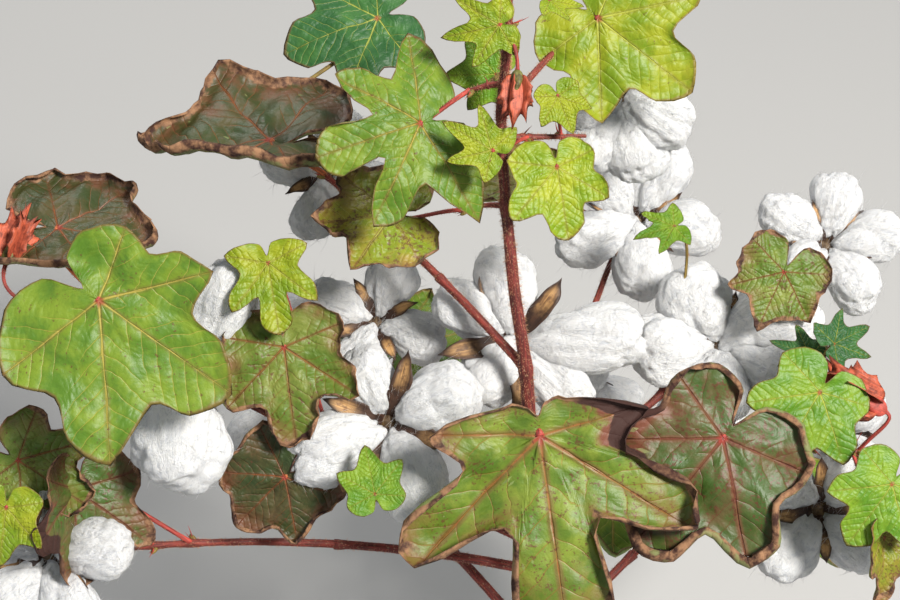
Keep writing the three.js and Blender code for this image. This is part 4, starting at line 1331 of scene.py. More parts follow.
@dataclass(frozen=True)
class HuskFinish(Finish):
    """Dry bur and bract: own hue with fine ribs, dark blotches and a worn pale lining."""

    name: str = "dry_husk"
    rough: float = 0.58
    dark: Triple = (0.34, 0.28, 0.26)
    pale: Triple = (1.5, 1.45, 1.3)
    blotch_pitch: float = 0.004
    relief: float = 0.0004

    def wire(self, bench: Bench, shader: Node) -> None:
        """Wires colour and relief of the husk."""
        hue = bench.value("hue").outputs["Color"]
        limb = bench.value("limb").outputs["Vector"]
        grain = stem_grain(bench, limb)
        blotch = bench.noise(bench.place(), self.blotch_pitch, 4, 0.6)
        dark, pale = (bench.tint(hue, by) for by in (self.dark, self.pale))
        colour = bench.blend(bench.fit(blotch, 0.34, 0.56), dark, hue)
        colour = bench.blend(bench.times(bench.fit(grain["Streak"], 0.5, 0.72), 0.6), colour, pale)
        ribs = bench.noise(bench.stretch(limb, (1.0, 0.07, 0.3)), 1.5, 2)
        colour = bench.blend(bench.times(bench.fit(ribs, 0.54, 0.42), 0.5), colour, dark)
        bench.feed_all(shader, {"Base Color": colour, "Normal": bench.bump(grain["Streak"], self.relief)})


@dataclass(frozen=True)
class FloorFinish(Finish):
    """Plain pale floor with a barely seen unevenness."""

    name: str = "pale_floor"
    rough: float = 0.85
    pale: Triple = srgb(180, 179, 177)
    dim: Triple = (0.96, 0.96, 0.96)

    def wire(self, bench: Bench, shader: Node) -> None:
        """Wires the floor's colour."""
        colour = bench.blend(bench.noise(bench.place(), 0.5, 2), bench.tint(self.pale, self.dim), self.pale)
        bench.feed(shader.inputs["Base Color"], colour)


# Limbs


def hue(red: float, green: float, blue: float, pores: float = 0.0) -> Array:
    """Gives the row of a limb's or husk's colour, with how strongly pale pores show."""
    return shade(srgb(red, green, blue), pores)


STEM_HUE = hue(108, 44, 40, 0.6)
BOUGH_HUE = hue(118, 46, 38, 0.5)
TWIG_HUE = hue(118, 50, 42, 0.4)
STALK_HUE = hue(158, 62, 56)
GREEN_STALK_HUE = hue(128, 112, 52)
ORANGE_STALK_HUE = hue(176, 96, 52)
LEAF_STALK_HUES = {"fresh": GREEN_STALK_HUE, "deep": GREEN_STALK_HUE, "dark": ORANGE_STALK_HUE}
HAIR_HUE = hue(208, 162, 128)
BUR_HUE = hue(66, 42, 28)
LINING_HUE = hue(182, 140, 88)
CALYX_HUE = hue(96, 74, 44)
BRACT_HUE = hue(112, 78, 48)
SQUARE_HUE = hue(184, 88, 60)
BUD_HUE = hue(118, 118, 60)
WITHERED_HUE = hue(192, 80, 66)

HAIR_RADIUS = 0.12
TWIG_HAIRS = (6, 1.6)
STALK_HAIRS = (3, 1.1)
LIMB_OVERLAP = 0.004
STEM_STEPS = 600
STEM_SAMPLES = np.array([stem_point(i / STEM_STEPS) for i in range(STEM_STEPS + 1)])


def stem_line(t: Array) -> Array:
    """Gives points of the main stem at shares of its stations."""
    place = np.clip(np.asarray(t, float), 0, 1) * STEM_STEPS
    return np.stack([np.interp(place, np.arange(STEM_STEPS + 1), column) for column in STEM_SAMPLES.T], -1)


@dataclass
class Limb:
    """A tapering limb along a line, with its sides, bands, hue and how rough its skin is."""

    line: Line
    radius_at: Line
    sides: int
    bands: int
    hue: Array
    relief: float
    seed: int
    start: float = 0.0
    end: float = 1.0
    level_foot: bool = False

    @cached_property
    def sections(self) -> tuple[Array, Array, Array, Array, Array]:
        """Holds the middles, across axes, other axes, radii and the distance along, by section."""
        t = np.linspace(self.start, self.end, self.bands + 1)
        middles = self.line(t)
        ahead = unit(np.gradient(middles, axis=0))
        if self.level_foot:
            ahead[0] = UP
        across = np.zeros_like(ahead)
        guide = np.array([1.0, 0, 0]) if abs(ahead[0, 2]) > 0.9 else UP
        last = unit(np.cross(ahead[0], guide))
        for i, along in enumerate(ahead):
            last = unit(last - along * (last @ along))
            across[i] = last
        steps = np.sqrt((np.diff(middles, axis=0) ** 2).sum(1))
        distance = np.concatenate([[0], np.cumsum(steps)])
        return middles, across, np.cross(ahead, across), np.asarray(self.radius_at(t), float), distance

    def build(self, heap: Heap) -> None:
        """Adds the limb's skin with its relief to a heap."""
        points, triangles = sleeve(self.sides, self.bands)
        middles, across, other, radii, distance = self.sections
        ring = np.clip(np.round(points[:, 2] * self.bands).astype(int), 0, self.bands)
        radius = radii[ring]
        flat = np.stack([points[:, 0] * radius, distance[ring], points[:, 1] * radius], 1)
        ripple = Ripple(self.seed)
        ridges = ripple(flat * [1, 0.12, 1], 2.6) + 0.6 * ripple(flat * [1, 0.5, 1], 1.3)
        x, y = points[:, :2].T * (radius * (1 + self.relief * ridges))
        placed = middles[ring] + (across[ring] * x[:, None] + other[ring] * y[:, None])
        if self.level_foot:
            placed[:, 2] = np.where(ring == 0, 0.0, np.maximum(placed[:, 2], 0.0))
        heap.add(placed, triangles, limb=flat, hue=self.hue)

    def hairs(self, heap: Heap, per_mm: float, length: float, seed: int, first: float = 0.0) -> None:
        """Adds fine hairs that stand out of the limb.

        Args:
            heap: Heap to add them to.
            per_mm: Hairs on a millimetre of the limb.
            length: Length of a hair.
            seed: Seed of their places.
            first: Share of the limb where they begin.
        """
        middles, across, other, radii, distance = self.sections
        rng = np.random.default_rng(seed)
        count = int(distance[-1] * per_mm * (1 - first))
        if count < 1:
            return
        place = rng.uniform(first, 1, count) * self.bands
        low = np.minimum(place.astype(int), self.bands - 1)
        part = (place - low)[:, None]
        turn = rng.uniform(0, 2 * math.pi, count)[:, None]
        middle = middles[low] * (1 - part) + middles[low + 1] * part
        outward = across[low] * np.cos(turn) + other[low] * np.sin(turn)
        ahead = unit(middles[low + 1] - middles[low])
        radius = np.interp(place, np.arange(self.bands + 1), radii)
        aims = unit(outward + ahead * rng.normal(0, 0.35, (count, 1)) + rng.normal(0, 0.2, (count, 3)))
        lengths = length * rng.uniform(0.5, 1.25, count)
        bends = ahead * (lengths * rng.normal(0, 0.25, count))[:, None]
        feet = middle + outward * (radius * 0.93)[:, None]
        shape = sleeve(3, 1, 0.0)
        points, triangles = deal(shape, feet, aims, lengths, np.full(count, HAIR_RADIUS), bends)
        heap.add(points, triangles, limb=np.zeros(3), hue=HAIR_HUE)


def swollen(base: Line, places: Sequence[float], spread: float, much: float) -> Line:
    """Gives a radius law that swells at places along a limb."""

    def radius(t: Array) -> Array:
        """Gives the radii at shares of the limb."""
        t = np.asarray(t, float)
        extra = sum((np.exp(-(((t - place) / spread) ** 2)) for place in places), np.zeros_like(t))
        return base(t) * (1 + much * np.minimum(extra, 1))

    return radius


@dataclass
class MainStem:
    """The main stem: tapering, leaning, ridged, swollen where shoots leave, flat at the ground."""

    sides: int = 44
    bands: int = 300
    relief: float = 0.035
    hairs_per_mm: float = 12
    hair_length: float = 2.1
    hairs_from: float = 0.35
    scar_heights: Sequence[float] = (28, 52, 78, 100, 124)
    scar_size: Triple = (2.6, 1.2, 1.7)

    def build(self) -> Thing:
        """Makes the stem's piece.

        Returns:
            The piece.
        """
        heap = Heap()
        joints = [stem_share_at(shoot.height) for shoot in SHOOTS]
        scars = [stem_share_at(height) for height in self.scar_heights]
        base = swollen(lambda t: stem_radius(stem_line(t)[..., 2]), joints, 0.009, 0.2)
        radius = swollen(base, scars, 0.006, 0.14)
        limb = Limb(stem_line, radius, self.sides, self.bands, STEM_HUE, self.relief, 3, level_foot=True)
        limb.build(heap)
        limb.hairs(heap, self.hairs_per_mm, self.hair_length, 31, self.hairs_from)
        for i, share in enumerate(scars):
            self.scar(heap, share, i * 2.4)
        return heap.piece("stem_bark_main", StemFinish())

    def scar(self, heap: Heap, share: float, turn: float) -> None:
        """Adds the corky scar of a leaf that has dropped."""
        points, triangles = ball(14, 8)
        middle = stem_line(share)
        outward = np.array([math.cos(turn), math.sin(turn), 0.0])
        frame = np.stack([np.cross(UP, outward), outward, UP]) * np.array(self.scar_size)[:, None]
        placed = points @ frame + middle + outward * float(stem_radius(middle[2]))
        heap.add(placed, triangles, limb=points * 3, hue=TWIG_HUE)


@dataclass
class Boughs:
    """The bare boughs, one for each shoot that has one."""

    sides: int = 20
    bands: int = 60
    relief: float = 0.035

    def build(self, shoot: Shoot) -> Thing:
        """Makes the piece of one bough.

        Args:
            shoot: The shoot that it carries.

        Returns:
            The piece.
        """
        heap = Heap()
        radius = swollen(shoot.radius_at, [0.0, shoot.bough], 0.02, 0.3)
        end = shoot.bough + LIMB_OVERLAP
        limb = Limb(shoot.line, radius, self.sides, self.bands, BOUGH_HUE, self.relief, 5, end=end)
        limb.build(heap)
        limb.hairs(heap, *TWIG_HAIRS, int(shoot.height))
        return heap.piece(f"bough_bark_{shoot.name}", StemFinish())


@dataclass
class Twigs:
    """What carries a mass: its twig, the stalks of its leaves and bolls, buds and fine spurs."""

    sides: int = 14
    stalk_sides: int = 10
    bands: int = 70
    stalk_bands: int = 26
    relief: float = 0.03
    stalk_relief: float = 0.02
    boll_stalk: float = 1.75
    square_stalk: float = 1.1
    spur_length: float = 9.0

    def build(self, shoot: Shoot, leaves: list[Leaf], bolls: list[Boll], squares: list[Square]) -> Thing:
        """Makes the piece that carries one mass.

        Args:
            shoot: The shoot.
            leaves: Its leaves.
            bolls: Its bolls.
            squares: Its squares.

        Returns:
            The piece.
        """
        heap = Heap()
        organs = [*leaves, *bolls, *squares]
        radius = swollen(shoot.radius_at, [organ.at for organ in organs], 0.022, 0.34)
        start = shoot.bough - LIMB_OVERLAP if shoot.bough > 0 else 0.0
        twig = Limb(shoot.line, radius, self.sides, self.bands, TWIG_HUE, self.relief, 7, start=start)
        twig.build(heap)
        twig.hairs(heap, *TWIG_HAIRS, int(shoot.height) + 1)
        for i, leaf in enumerate(leaves):
            own = LEAF_STALK_HUES.get(leaf.look, STALK_HUE)
            self.stalk(heap, leaf.stalk(), 0.7 + 0.0105 * leaf.length, own, i + 11)
        for i, boll in enumerate(bolls):
            self.stalk(heap, boll.stalk(), self.boll_stalk, TWIG_HUE, i + 31)
        for i, square in enumerate(squares):
            self.stalk(heap, square.stalk(), self.square_stalk, STALK_HUE, i + 50)
        for i, organ in enumerate(organs):
            self.spur(heap, shoot, min(organ.at, 0.985), i)
        return heap.piece(f"twigs_{shoot.name}", StemFinish())

    def stalk(self, heap: Heap, line: Line, thick: float, own: Array, seed: int) -> None:
        """Adds one stalk in its own hue, swollen at both ends, with its hairs."""
        radius = swollen(lambda t: thick * (1 - 0.22 * np.asarray(t, float)), [0.0, 1.0], 0.05, 0.4)
        limb = Limb(line, radius, self.stalk_sides, self.stalk_bands, own, self.stalk_relief, seed)
        limb.build(heap)
        limb.hairs(heap, *STALK_HAIRS, seed)

    def spur(self, heap: Heap, shoot: Shoot, at: float, index: int) -> None:
        """Adds a bud and two fine spurs where an organ leaves the twig."""
        ahead = unit(shoot.line(at) - shoot.line(at - 0.02))
        rng = np.random.default_rng(int(shoot.height) * 7 + index)
        sideways = unit(np.cross(ahead, UP) * (1 if index % 2 else -1) + rng.normal(0, 0.25, 3))
        foot = shoot.line(at) + sideways * float(shoot.radius_at(at)) * 0.8
        points, triangles = ball(10, 8)
        aim = unit(sideways + ahead)
        first, second = side_axes(aim[None])
        placed = points @ np.stack([first[0] * 1.3, second[0] * 1.3, aim * 2.7]) + foot + sideways * 1.6
        heap.add(placed, triangles, limb=points * 3, hue=GREEN_STALK_HUE)
        aims = unit(np.stack([sideways + ahead * 0.2 + UP * 0.5, sideways + ahead * 0.9 - UP * 0.3]))
        lengths = np.array([self.spur_length, self.spur_length * 0.7]) * rng.uniform(0.6, 1.1, 2)
        feet, radii, bends = np.stack([foot, foot]), np.array([0.6, 0.45]), np.stack([ahead, UP]) * 1.6
        placed, faces = deal(sleeve(6, 6, 0.1), feet, aims, lengths, radii, bends)
        heap.add(placed, faces, limb=placed * 0.5, hue=STALK_HUE)


# Leaves


@dataclass
class MassPart:
    """One kind of piece of a mass, made organ by organ."""

    label: ClassVar[str]
    finish: ClassVar[Finish]

    def add(self, heap: Heap, shoot: Shoot, organ: Organ, index: int, count: int) -> None:
        """Adds what the piece shows of one organ, which has a number in the mass."""
        raise NotImplementedError

    def build(self, shoot: Shoot, organs: Sequence[Organ]) -> Thing:
        """Makes the piece of one mass.

        Args:
            shoot: The shoot.
            organs: Its leaves, bolls or squares.

        Returns:
            The piece.
        """
        heap = Heap()
        for i, organ in enumerate(organs):
            self.add(heap, shoot, organ, i, len(organs))
        return heap.piece(f"{self.label}_{shoot.name}", self.finish)


@dataclass
class Blades(MassPart):
    """The blades of a mass: thin lobed leaves with rolled, ragged margins."""

    label = "leaves"
    finish = BladeFinish()
    rings: int = 16
    plain_rings: int = 12
    corner_steps: int = 4
    plain_corner_steps: int = 5
    roll_from: float = 0.89
    pucker: float = 0.014
    groove: float = 0.014
    lobe_swell: float = 28.0
    ragged: float = 0.008
    ragged_dead: float = 0.034
    dead_lobe_width: float = 0.42

    def outline(self, leaf: Leaf) -> Pair:
        """Gives the leaf's full outline, pointed at the lobes and curved between.

        Args:
            leaf: The leaf.

        Returns:
            The outline's points and their turn, as the plain leaf form would have it.
        """
        corners = leaf.outline()
        steps = self.corner_steps if leaf.fine else self.plain_corner_steps
        tips = [0.0, leaf.form.value.side_angle, leaf.form.value.basal_angle]
        turns = np.degrees(np.arctan2(corners[:, 0], corners[:, 1]))
        sharp = np.array([min(abs(abs(turn) - tip) for tip in tips) < 1 for turn in turns])[:, None]
        after, before = np.roll(corners, -1, 0), np.roll(corners, 1, 0)
        smooth = (after - before) * 0.4
        leaving = np.where(sharp, self.splay(after - corners, self.lobe_swell), smooth)
        arriving = np.where(sharp, self.splay(corners - before, -self.lobe_swell), smooth)
        k = (np.arange(steps) / steps)[None, :, None]
        near, far = corners[:, None], after[:, None]
        points = near * (2 * k**3 - 3 * k**2 + 1) + leaving[:, None] * (k**3 - 2 * k**2 + k)
        points = points + far * (3 * k**2 - 2 * k**3) + np.roll(arriving, -1, 0)[:, None] * (k**3 - k**2)
        points = points.reshape(-1, 2)
        turn = np.arctan2(points[:, 0], points[:, 1])
        ragged = self.ragged + self.ragged_dead * LEAF_LOOKS[leaf.look].dead
        waves = np.stack([np.cos(turn), np.sin(turn), np.full_like(turn, leaf.phase)], 1)
        points *= (1 + ragged * Ripple(int(leaf.phase * 13) + 3)(waves, 0.32))[:, None]
        usual = np.interp(np.abs(np.degrees(turn)), [*tips, 180], [0, 48, 106, 180])
        return points, np.radians(usual) * np.sign(turn)

    @staticmethod
    def splay(steps: Array, swing: float) -> Array:
        """Turns outline steps by a swing in degrees, so the lobes fill out beside their tips."""
        c, s = math.cos(math.radians(swing)), math.sin(math.radians(swing))
        return np.stack([steps[:, 0] * c - steps[:, 1] * s, steps[:, 0] * s + steps[:, 1] * c], 1)

    def surface(self, leaf: Leaf, outline: Array, shares: Array, seed: int) -> Array:
        """Gives the blade's middle surface as rings of points.

        Args:
            leaf: The leaf.
            outline: Its outline.
            shares: Share of the reach for each ring.
            seed: Seed of the puckers.

        Returns:
            The points by ring and outline step.
        """
        rest = np.minimum(shares, self.roll_from)
        grid = leaf.surface(outline[None], rest[:, None])
        flat = outline[None] * rest[:, None, None]
        place = np.concatenate([flat, np.full((*flat.shape[:2], 1), leaf.phase)], 2)
        ripple = Ripple(seed + 17)
        pucker = self.pucker * (1 + 0.5 * LEAF_LOOKS[leaf.look].dead)
        lift = pucker * (0.9 * ripple(place, 0.75) + ripple(place, 0.34) + 0.5 * ripple(place, 0.16))
        turn = np.abs(np.arctan2(flat[..., 0], flat[..., 1]))
        rays = np.radians([0, leaf.form.value.side_angle, leaf.form.value.basal_angle])
        off = np.min(np.abs(turn[..., None] - rays), -1)
        reach = np.sqrt((flat**2).sum(-1))
        beside = reach * np.sin(np.minimum(off, 1.5))
        lift = lift - self.groove * np.exp(-((beside / 0.045) ** 2)) * np.minimum(reach * 6, 1)
        grid = grid + leaf.normal * (lift * leaf.length * np.minimum(shares * 5, 1)[:, None])[..., None]
        return self.roll_margin(leaf, grid, outline, shares, seed)

    def roll_margin(self, leaf: Leaf, grid: Array, outline: Array, shares: Array, seed: int) -> Array:
        """Rolls the rings beyond the last flat one into the margin's curl."""
        inside = int(np.searchsorted(shares, self.roll_from) - 1)
        edge, before = grid[inside], grid[inside - 1]
        outward = unit(edge - before)
        around = np.roll(edge, -1, 0) - np.roll(edge, 1, 0)
        lift = unit(np.cross(around, outward))
        waves = np.concatenate([unit(outline), np.full((len(outline), 1), leaf.phase)], 1)
        uneven = 1 + 0.5 * Ripple(seed + 5)(waves, 0.9)
        most = np.clip((0.25 + 3.6 * abs(leaf.curl)) * uneven, 0.15, 3.6) * (-1 if leaf.curl < 0 else 1)
        arc = (1 - shares[inside]) * np.sqrt((outline**2).sum(1)) * leaf.length
        bow = arc / most
        for i in range(inside + 1, len(shares)):
            angle = (shares[i] - shares[inside]) / (1 - shares[inside]) * most
            ahead, up = bow * np.sin(angle), bow * (1 - np.cos(angle))
            grid[i] = edge + outward * ahead[:, None] + lift * up[:, None]
        return grid

    def add(self, heap: Heap, shoot: Shoot, organ: Leaf, index: int, count: int) -> None:
        """Adds one blade with its values to the heap."""
        leaf, look = organ, LEAF_LOOKS[organ.look]
        rings = self.rings if leaf.fine else self.plain_rings
        outline, usual = self.outline(leaf)
        around = len(outline)
        triangles, ring, turn, side = sheet(around, rings)
        shares = 1 - (1 - np.arange(rings + 1) / rings) ** 1.3
        grid = self.surface(leaf, outline, shares, index + int(leaf.phase * 31))
        step = np.where(ring == 0, 0, np.round(turn / (2 * math.pi) * around).astype(int) % around)
        across = np.roll(grid, -1, 1) - np.roll(grid, 1, 1)
        normals = np.cross(across, np.gradient(grid, axis=0))
        normals[0] = normals[1].mean(0)
        normals = unit(normals + 1e-9 * leaf.normal)
        placed = grid[ring, step] + normals[ring, step] * (side * LEAF_THICKNESS / 2)[:, None]
        reach = np.sqrt((outline**2).sum(1))[step] * shares[ring]
        flat = np.stack([reach * np.sin(usual[step]), reach * np.cos(usual[step])], 1)
        drift = np.random.default_rng(index * 11 + int(leaf.length * 10)).uniform(0.9, 1.1)
        dead = np.full_like(reach, look.dead)
        if look.lobe is not None:
            apart = np.arctan2(outline[:, 0], outline[:, 1])[step] - math.radians(look.lobe)
            apart /= self.dead_lobe_width
            dead += 2.6 * np.exp(-apart * apart) * np.clip((shares[ring] - 0.5) / 0.3, 0, 1)
        ones = np.ones_like(reach)
        heap.add(
            placed,
            triangles,
            blade=np.concatenate([flat, shares[ring][:, None]], 1),
            tone=shade(np.array(look.tone) * drift),
            patch=shade(np.array(look.patch) * drift),
            vein=shade(look.vein),
            wear=np.stack([dead, look.spots * ones, (side < 0) * ones, ones], 1),
            OFBake=self.bake_map(flat, side, index, count),
        )

    @staticmethod
    def bake_map(flat: Array, side: Array, index: int, count: int) -> Array:
        """Gives each point's place on the piece's map: a block for each leaf, its underside beside it."""
        blocks = math.ceil(math.sqrt(count))
        block = 1 / blocks
        corner = np.array([index % blocks, index // blocks]) / blocks
        square = flat / 2.2 + 0.5
        top = corner + 0.01 * block + square * (0.68 * block) * 0.98
        under = corner + 0.69 * block + square * 0.3 * block
        return np.where(side[:, None] < 0, under, top)


# Bolls


@dataclass(frozen=True)
class Fibres:
    """Fibres of a lock: how many on a full and on a plain one, their size, bands and lift."""

    full: int
    plain: int
    length: float
    radius: float
    bands: int
    stand: float

    def add(self, heap: Heap, points: Array, triangles: Array, seed: int, fine: bool) -> None:
        """Adds the fibres, which lie on and off a lock's surface."""
        count = self.full if fine else self.plain
        rng = np.random.default_rng(seed)
        picked = triangles[rng.integers(0, len(triangles), count)]
        a, b, c = (points[picked[:, i]] for i in range(3))
        outward = unit(np.cross(b - a, c - a))
        loose = rng.normal(size=(count, 3))
        flat = unit(loose - outward * (loose * outward).sum(1, keepdims=True))
        lift = rng.uniform(0.12, 0.75, (count, 1)) * self.stand
        lengths = self.length * rng.uniform(0.5, 1.4, count)
        bends = (flat[:, [1, 2, 0]] * 0.5 - outward * 0.45 * lift) * lengths[:, None]
        radii = self.radius * rng.uniform(0.7, 1.3, count)
        feet, aims = (a + b + c) / 3 - outward * 0.3, unit(flat + outward * lift)
        placed, faces = deal(sleeve(3, self.bands, 0.0), feet, aims, lengths, radii, bends)
        heap.add(placed, faces, lock=placed)


@dataclass
class Fluff(MassPart):
    """The open cotton of a mass: billowing locks with loose fibres and short fuzz."""

    label = "fluff"
    finish = FluffFinish()
    face_steps: int = 5
    plain_steps: int = 4
    billow: float = 0.17
    crease: float = 0.05
    grain: float = 0.026
    loose: Fibres = Fibres(130, 50, 7.4, 0.13, 2, 1.0)
    fuzz: Fibres = Fibres(520, 150, 3.4, 0.1, 1, 1.8)

    def add(self, heap: Heap, shoot: Shoot, organ: Boll, index: int, count: int) -> None:
        """Adds the locks of one boll."""
        for j, lock in enumerate(organ.locks):
            self.lock(heap, organ, lock, int(shoot.height) * 50 + index * 10 + j)

    def lock(self, heap: Heap, boll: Boll, lock: Lock, seed: int) -> None:
        """Adds one lock with its fibres."""
        middle, axes, half = boll.lock_frame(lock)
        points, triangles = even_ball(self.face_steps if boll.fine else self.plain_steps)
        ripple, small = Ripple(seed, 7), Ripple(seed + 1, 11)
        billow = self.billow * (np.abs(ripple(points, 2.1)) ** 0.8 - 0.45)
        billow += self.crease * (np.abs(small(points * [1, 0.6, 1], 0.9)) - 0.4)
        billow += self.grain * small(points * [1, 0.3, 1], 0.24)
        full = 1 + 0.24 * points[:, 1:2] - 0.1 * np.maximum(-points[:, 1:2] - 0.4, 0)
        stretch = np.concatenate([full, np.ones_like(full), full], 1)
        local = points * stretch * half * (1 + billow[:, None])
        placed = middle + local @ axes
        heap.add(placed, triangles, lock=local + [seed % 97, seed % 89, seed % 83])
        self.loose.add(heap, placed, triangles, seed, boll.fine)
        self.fuzz.add(heap, placed, triangles, seed + 5, boll.fine)


@dataclass(frozen=True)
class Bract:
    """A heart-shaped bract whose upper edge is cut into long teeth, and how far it opens from the axis."""

    length: float
    teeth: int
    opened: float
    hue: Array
    slim: float = 1.0
    rings: int = 6

    def add(self, heap: Heap, foot: Array, axes: Array, rng: np.random.Generator) -> None:
        """Adds the bract to a heap.

        Args:
            heap: The heap.
            foot: Point where it is fixed.
            axes: Directions across it, along the axis and away from the axis, as rows.
            rng: Dice for its small differences.
        """
        triangles, ring, turn, side = sheet(8 * self.teeth, self.rings)
        share = ring / self.rings
        half = np.abs(turn) / math.pi
        heart = 0.52 + 0.1 * np.cos(turn) - 0.16 * np.maximum(half - 0.7, 0) * 3
        front = np.clip(1 - half / 0.62, 0, 1)
        saw = np.abs(((turn / math.pi * self.teeth) % 1) - 0.5) * 2
        tooth = front**0.5 * (0.08 + 0.34 * saw**2.2) * (0.8 + 0.4 * np.cos(turn * 1.3))
        reach = (heart + tooth * np.maximum(share - 0.6, 0) / 0.4) * share
        x, y = self.slim * reach * np.sin(turn), 0.46 + reach * np.cos(turn)
        bend = (self.opened * 0.9) * y**1.5 + rng.uniform(-0.05, 0.05)
        cup = -0.35 * x * x + 0.035 * np.sin(9 * x) * share
        rise = np.cos(bend) * y * self.length
        out = np.sin(bend) * y * self.length + (cup + 0.12 * (1 - (1 - y) ** 2)) * self.length + side * 0.16
        placed = foot + np.stack([x * self.length, rise, out], 1) @ axes
        flat = np.stack([x * self.length, y * self.length, out * 0.2], 1)
        heap.add(placed, facing(triangles, axes), limb=flat, hue=self.hue * rng.uniform(0.8, 1.2))


@dataclass
class Burs(MassPart):
    """The dry burs of a mass: boat-shaped valves with twisted tips, the calyx and its dry bracts."""

    label = "burs"
    finish = HuskFinish()
    valve_thick: float = 0.7
    valve_wide: float = 0.19
    valve_rise: float = 0.4
    calyx_size: Triple = (9.0, 9.0, 6.5)
    face_bract: Triple = (0.5, 11.0, 1.7)
    plain_bract: Triple = (0.72, 8.5, 0.5)
    bract_teeth: int = 7

    def add(self, heap: Heap, shoot: Shoot, organ: Boll, index: int, count: int) -> None:
        """Adds the bur of one boll."""
        rng = np.random.default_rng(int(shoot.height) + index)
        for turn in organ.valve_turns():
            self.valve(heap, organ, turn, rng)
        self.calyx(heap, organ)
        for j in range(3):
            self.bract(heap, organ, organ.valve_turns()[0] + 120 * j, rng)

    def valve(self, heap: Heap, boll: Boll, turn: float, rng: np.random.Generator) -> None:
        """Adds one valve, from the calyx out to its curled tip, dark outside and golden within."""
        points, triangles = ball(14, 24)
        u = np.arccos(np.clip(-points[:, 2], -1, 1)) / math.pi
        round_x, round_y = points[:, 0], points[:, 1]
        length = boll.bur * rng.uniform(0.96, 1.06)
        safe = np.maximum(np.hypot(round_x, round_y), 1e-6)
        solid = safe > 1e-3
        wide = self.valve_wide * length * (0.34 * (1 - u) + 2.9 * u**1.3 * np.maximum(1 - u, 0) ** 1.25)
        wide = np.maximum(wide, 0.35) * solid
        wide *= 1 + 0.16 * Ripple(int(rng.integers(1, 9999)))(np.stack([u * 2, round_x, round_y * 0], 1), 0.9)
        thick = self.valve_thick * (1 - 0.5 * u) * solid
        across = round_x / safe
        x, y = across * wide, round_y / safe * thick
        y = y + (0.085 - 0.03 * u) * x * x
        twist = np.maximum(u - 0.6, 0) ** 1.3 * rng.choice([-1.0, 1.0]) * rng.uniform(1.6, 4.2)
        x, y = x * np.cos(twist) - y * np.sin(twist), x * np.sin(twist) + y * np.cos(twist)
        out = 2 + (length - 2) * u - 0.1 * length * np.maximum(u - 0.8, 0) * 3
        lift = -1 + (1 + self.valve_rise * length) * np.sin(0.5 * math.pi * u**0.62)
        sway = rng.uniform(-0.1, 0.1) * length * u**3
        axes = np.stack([boll.ray(turn), boll.ray(turn + 90), boll.normal])
        placed = boll.middle + np.stack([out, x + sway, lift + y], 1) @ axes
        inner = np.clip((round_y / safe - 0.05) * 6, 0, 1) * np.clip((0.8 - np.abs(across)) * 4, 0, 1)
        inner = (inner * np.clip((u - 0.36) * 5, 0, 1) * np.clip((0.86 - u) * 7, 0, 1))[:, None]
        tinted = BUR_HUE * (1 - inner) + LINING_HUE * inner * rng.uniform(0.75, 1.15)
        heap.add(placed, triangles, limb=np.stack([x, out, y], 1), hue=tinted)

    def calyx(self, heap: Heap, boll: Boll) -> None:
        """Adds the cup under the locks."""
        points, triangles = ball(20, 12)
        ribs = 1 + 0.05 * np.cos(5 * np.arctan2(points[:, 0], points[:, 1]))
        local = points * np.array(self.calyx_size) * ribs[:, None] - [0, 0, 3.5]
        heap.add(boll.middle + local @ boll.axes, triangles, limb=local, hue=CALYX_HUE)

    def bract(self, heap: Heap, boll: Boll, turn: float, rng: np.random.Generator) -> None:
        """Adds one dry bract, whose share of the bur, sinking and opening depend on the boll."""
        share, sink, opened = self.face_bract if boll.fine else self.plain_bract
        length = boll.bur * share * rng.uniform(0.8, 1.1)
        axes = np.stack([boll.ray(turn + 90), boll.normal, boll.ray(turn)])
        bract = Bract(length, self.bract_teeth, opened, BRACT_HUE)
        bract.add(heap, boll.middle - boll.normal * sink, axes, rng)


@dataclass
class Squares(MassPart):
    """Squares and withered flowers: a bud or twisted petals in three fringed bracts."""

    label = "squares"
    finish = HuskFinish()
    teeth: int = 6
    bract_length: float = 0.98
    opened: float = -0.06
    slim: float = 0.78
    bud_limit: float = 25

    def add(self, heap: Heap, shoot: Shoot, organ: Square, index: int, count: int) -> None:
        """Adds one square."""
        rng = np.random.default_rng(int(shoot.height) + 900 + index)
        foot = organ.middle - organ.normal * organ.length * 0.42
        bract = Bract(organ.length * self.bract_length, self.teeth, self.opened, SQUARE_HUE, self.slim)
        for turn in (25, 145, 265):
            bract.add(heap, foot, np.stack([organ.ray(turn + 90), organ.normal, organ.ray(turn)]), rng)
        self.bud(heap, organ, foot)

    def bud(self, heap: Heap, square: Square, foot: Array) -> None:
        """Adds the bud, twisted to a point."""
        points, triangles = ball(18, 14)
        height = (points[:, 2] + 1) / 2
        twist = height * 2.2
        lobes = 1 + 0.14 * np.cos(3 * np.arctan2(points[:, 1], points[:, 0]))
        wide = 0.17 * square.length * lobes * (1.15 - 0.5 * height)
        x = (points[:, 0] * np.cos(twist) - points[:, 1] * np.sin(twist)) * wide
        y = (points[:, 0] * np.sin(twist) + points[:, 1] * np.cos(twist)) * wide
        local = np.stack([x, y, height * square.length * 0.7], 1)
        own = BUD_HUE if square.length < self.bud_limit else WITHERED_HUE
        heap.add(foot + local @ square.axes, facing(triangles, square.axes), limb=local, hue=own)


# Studio


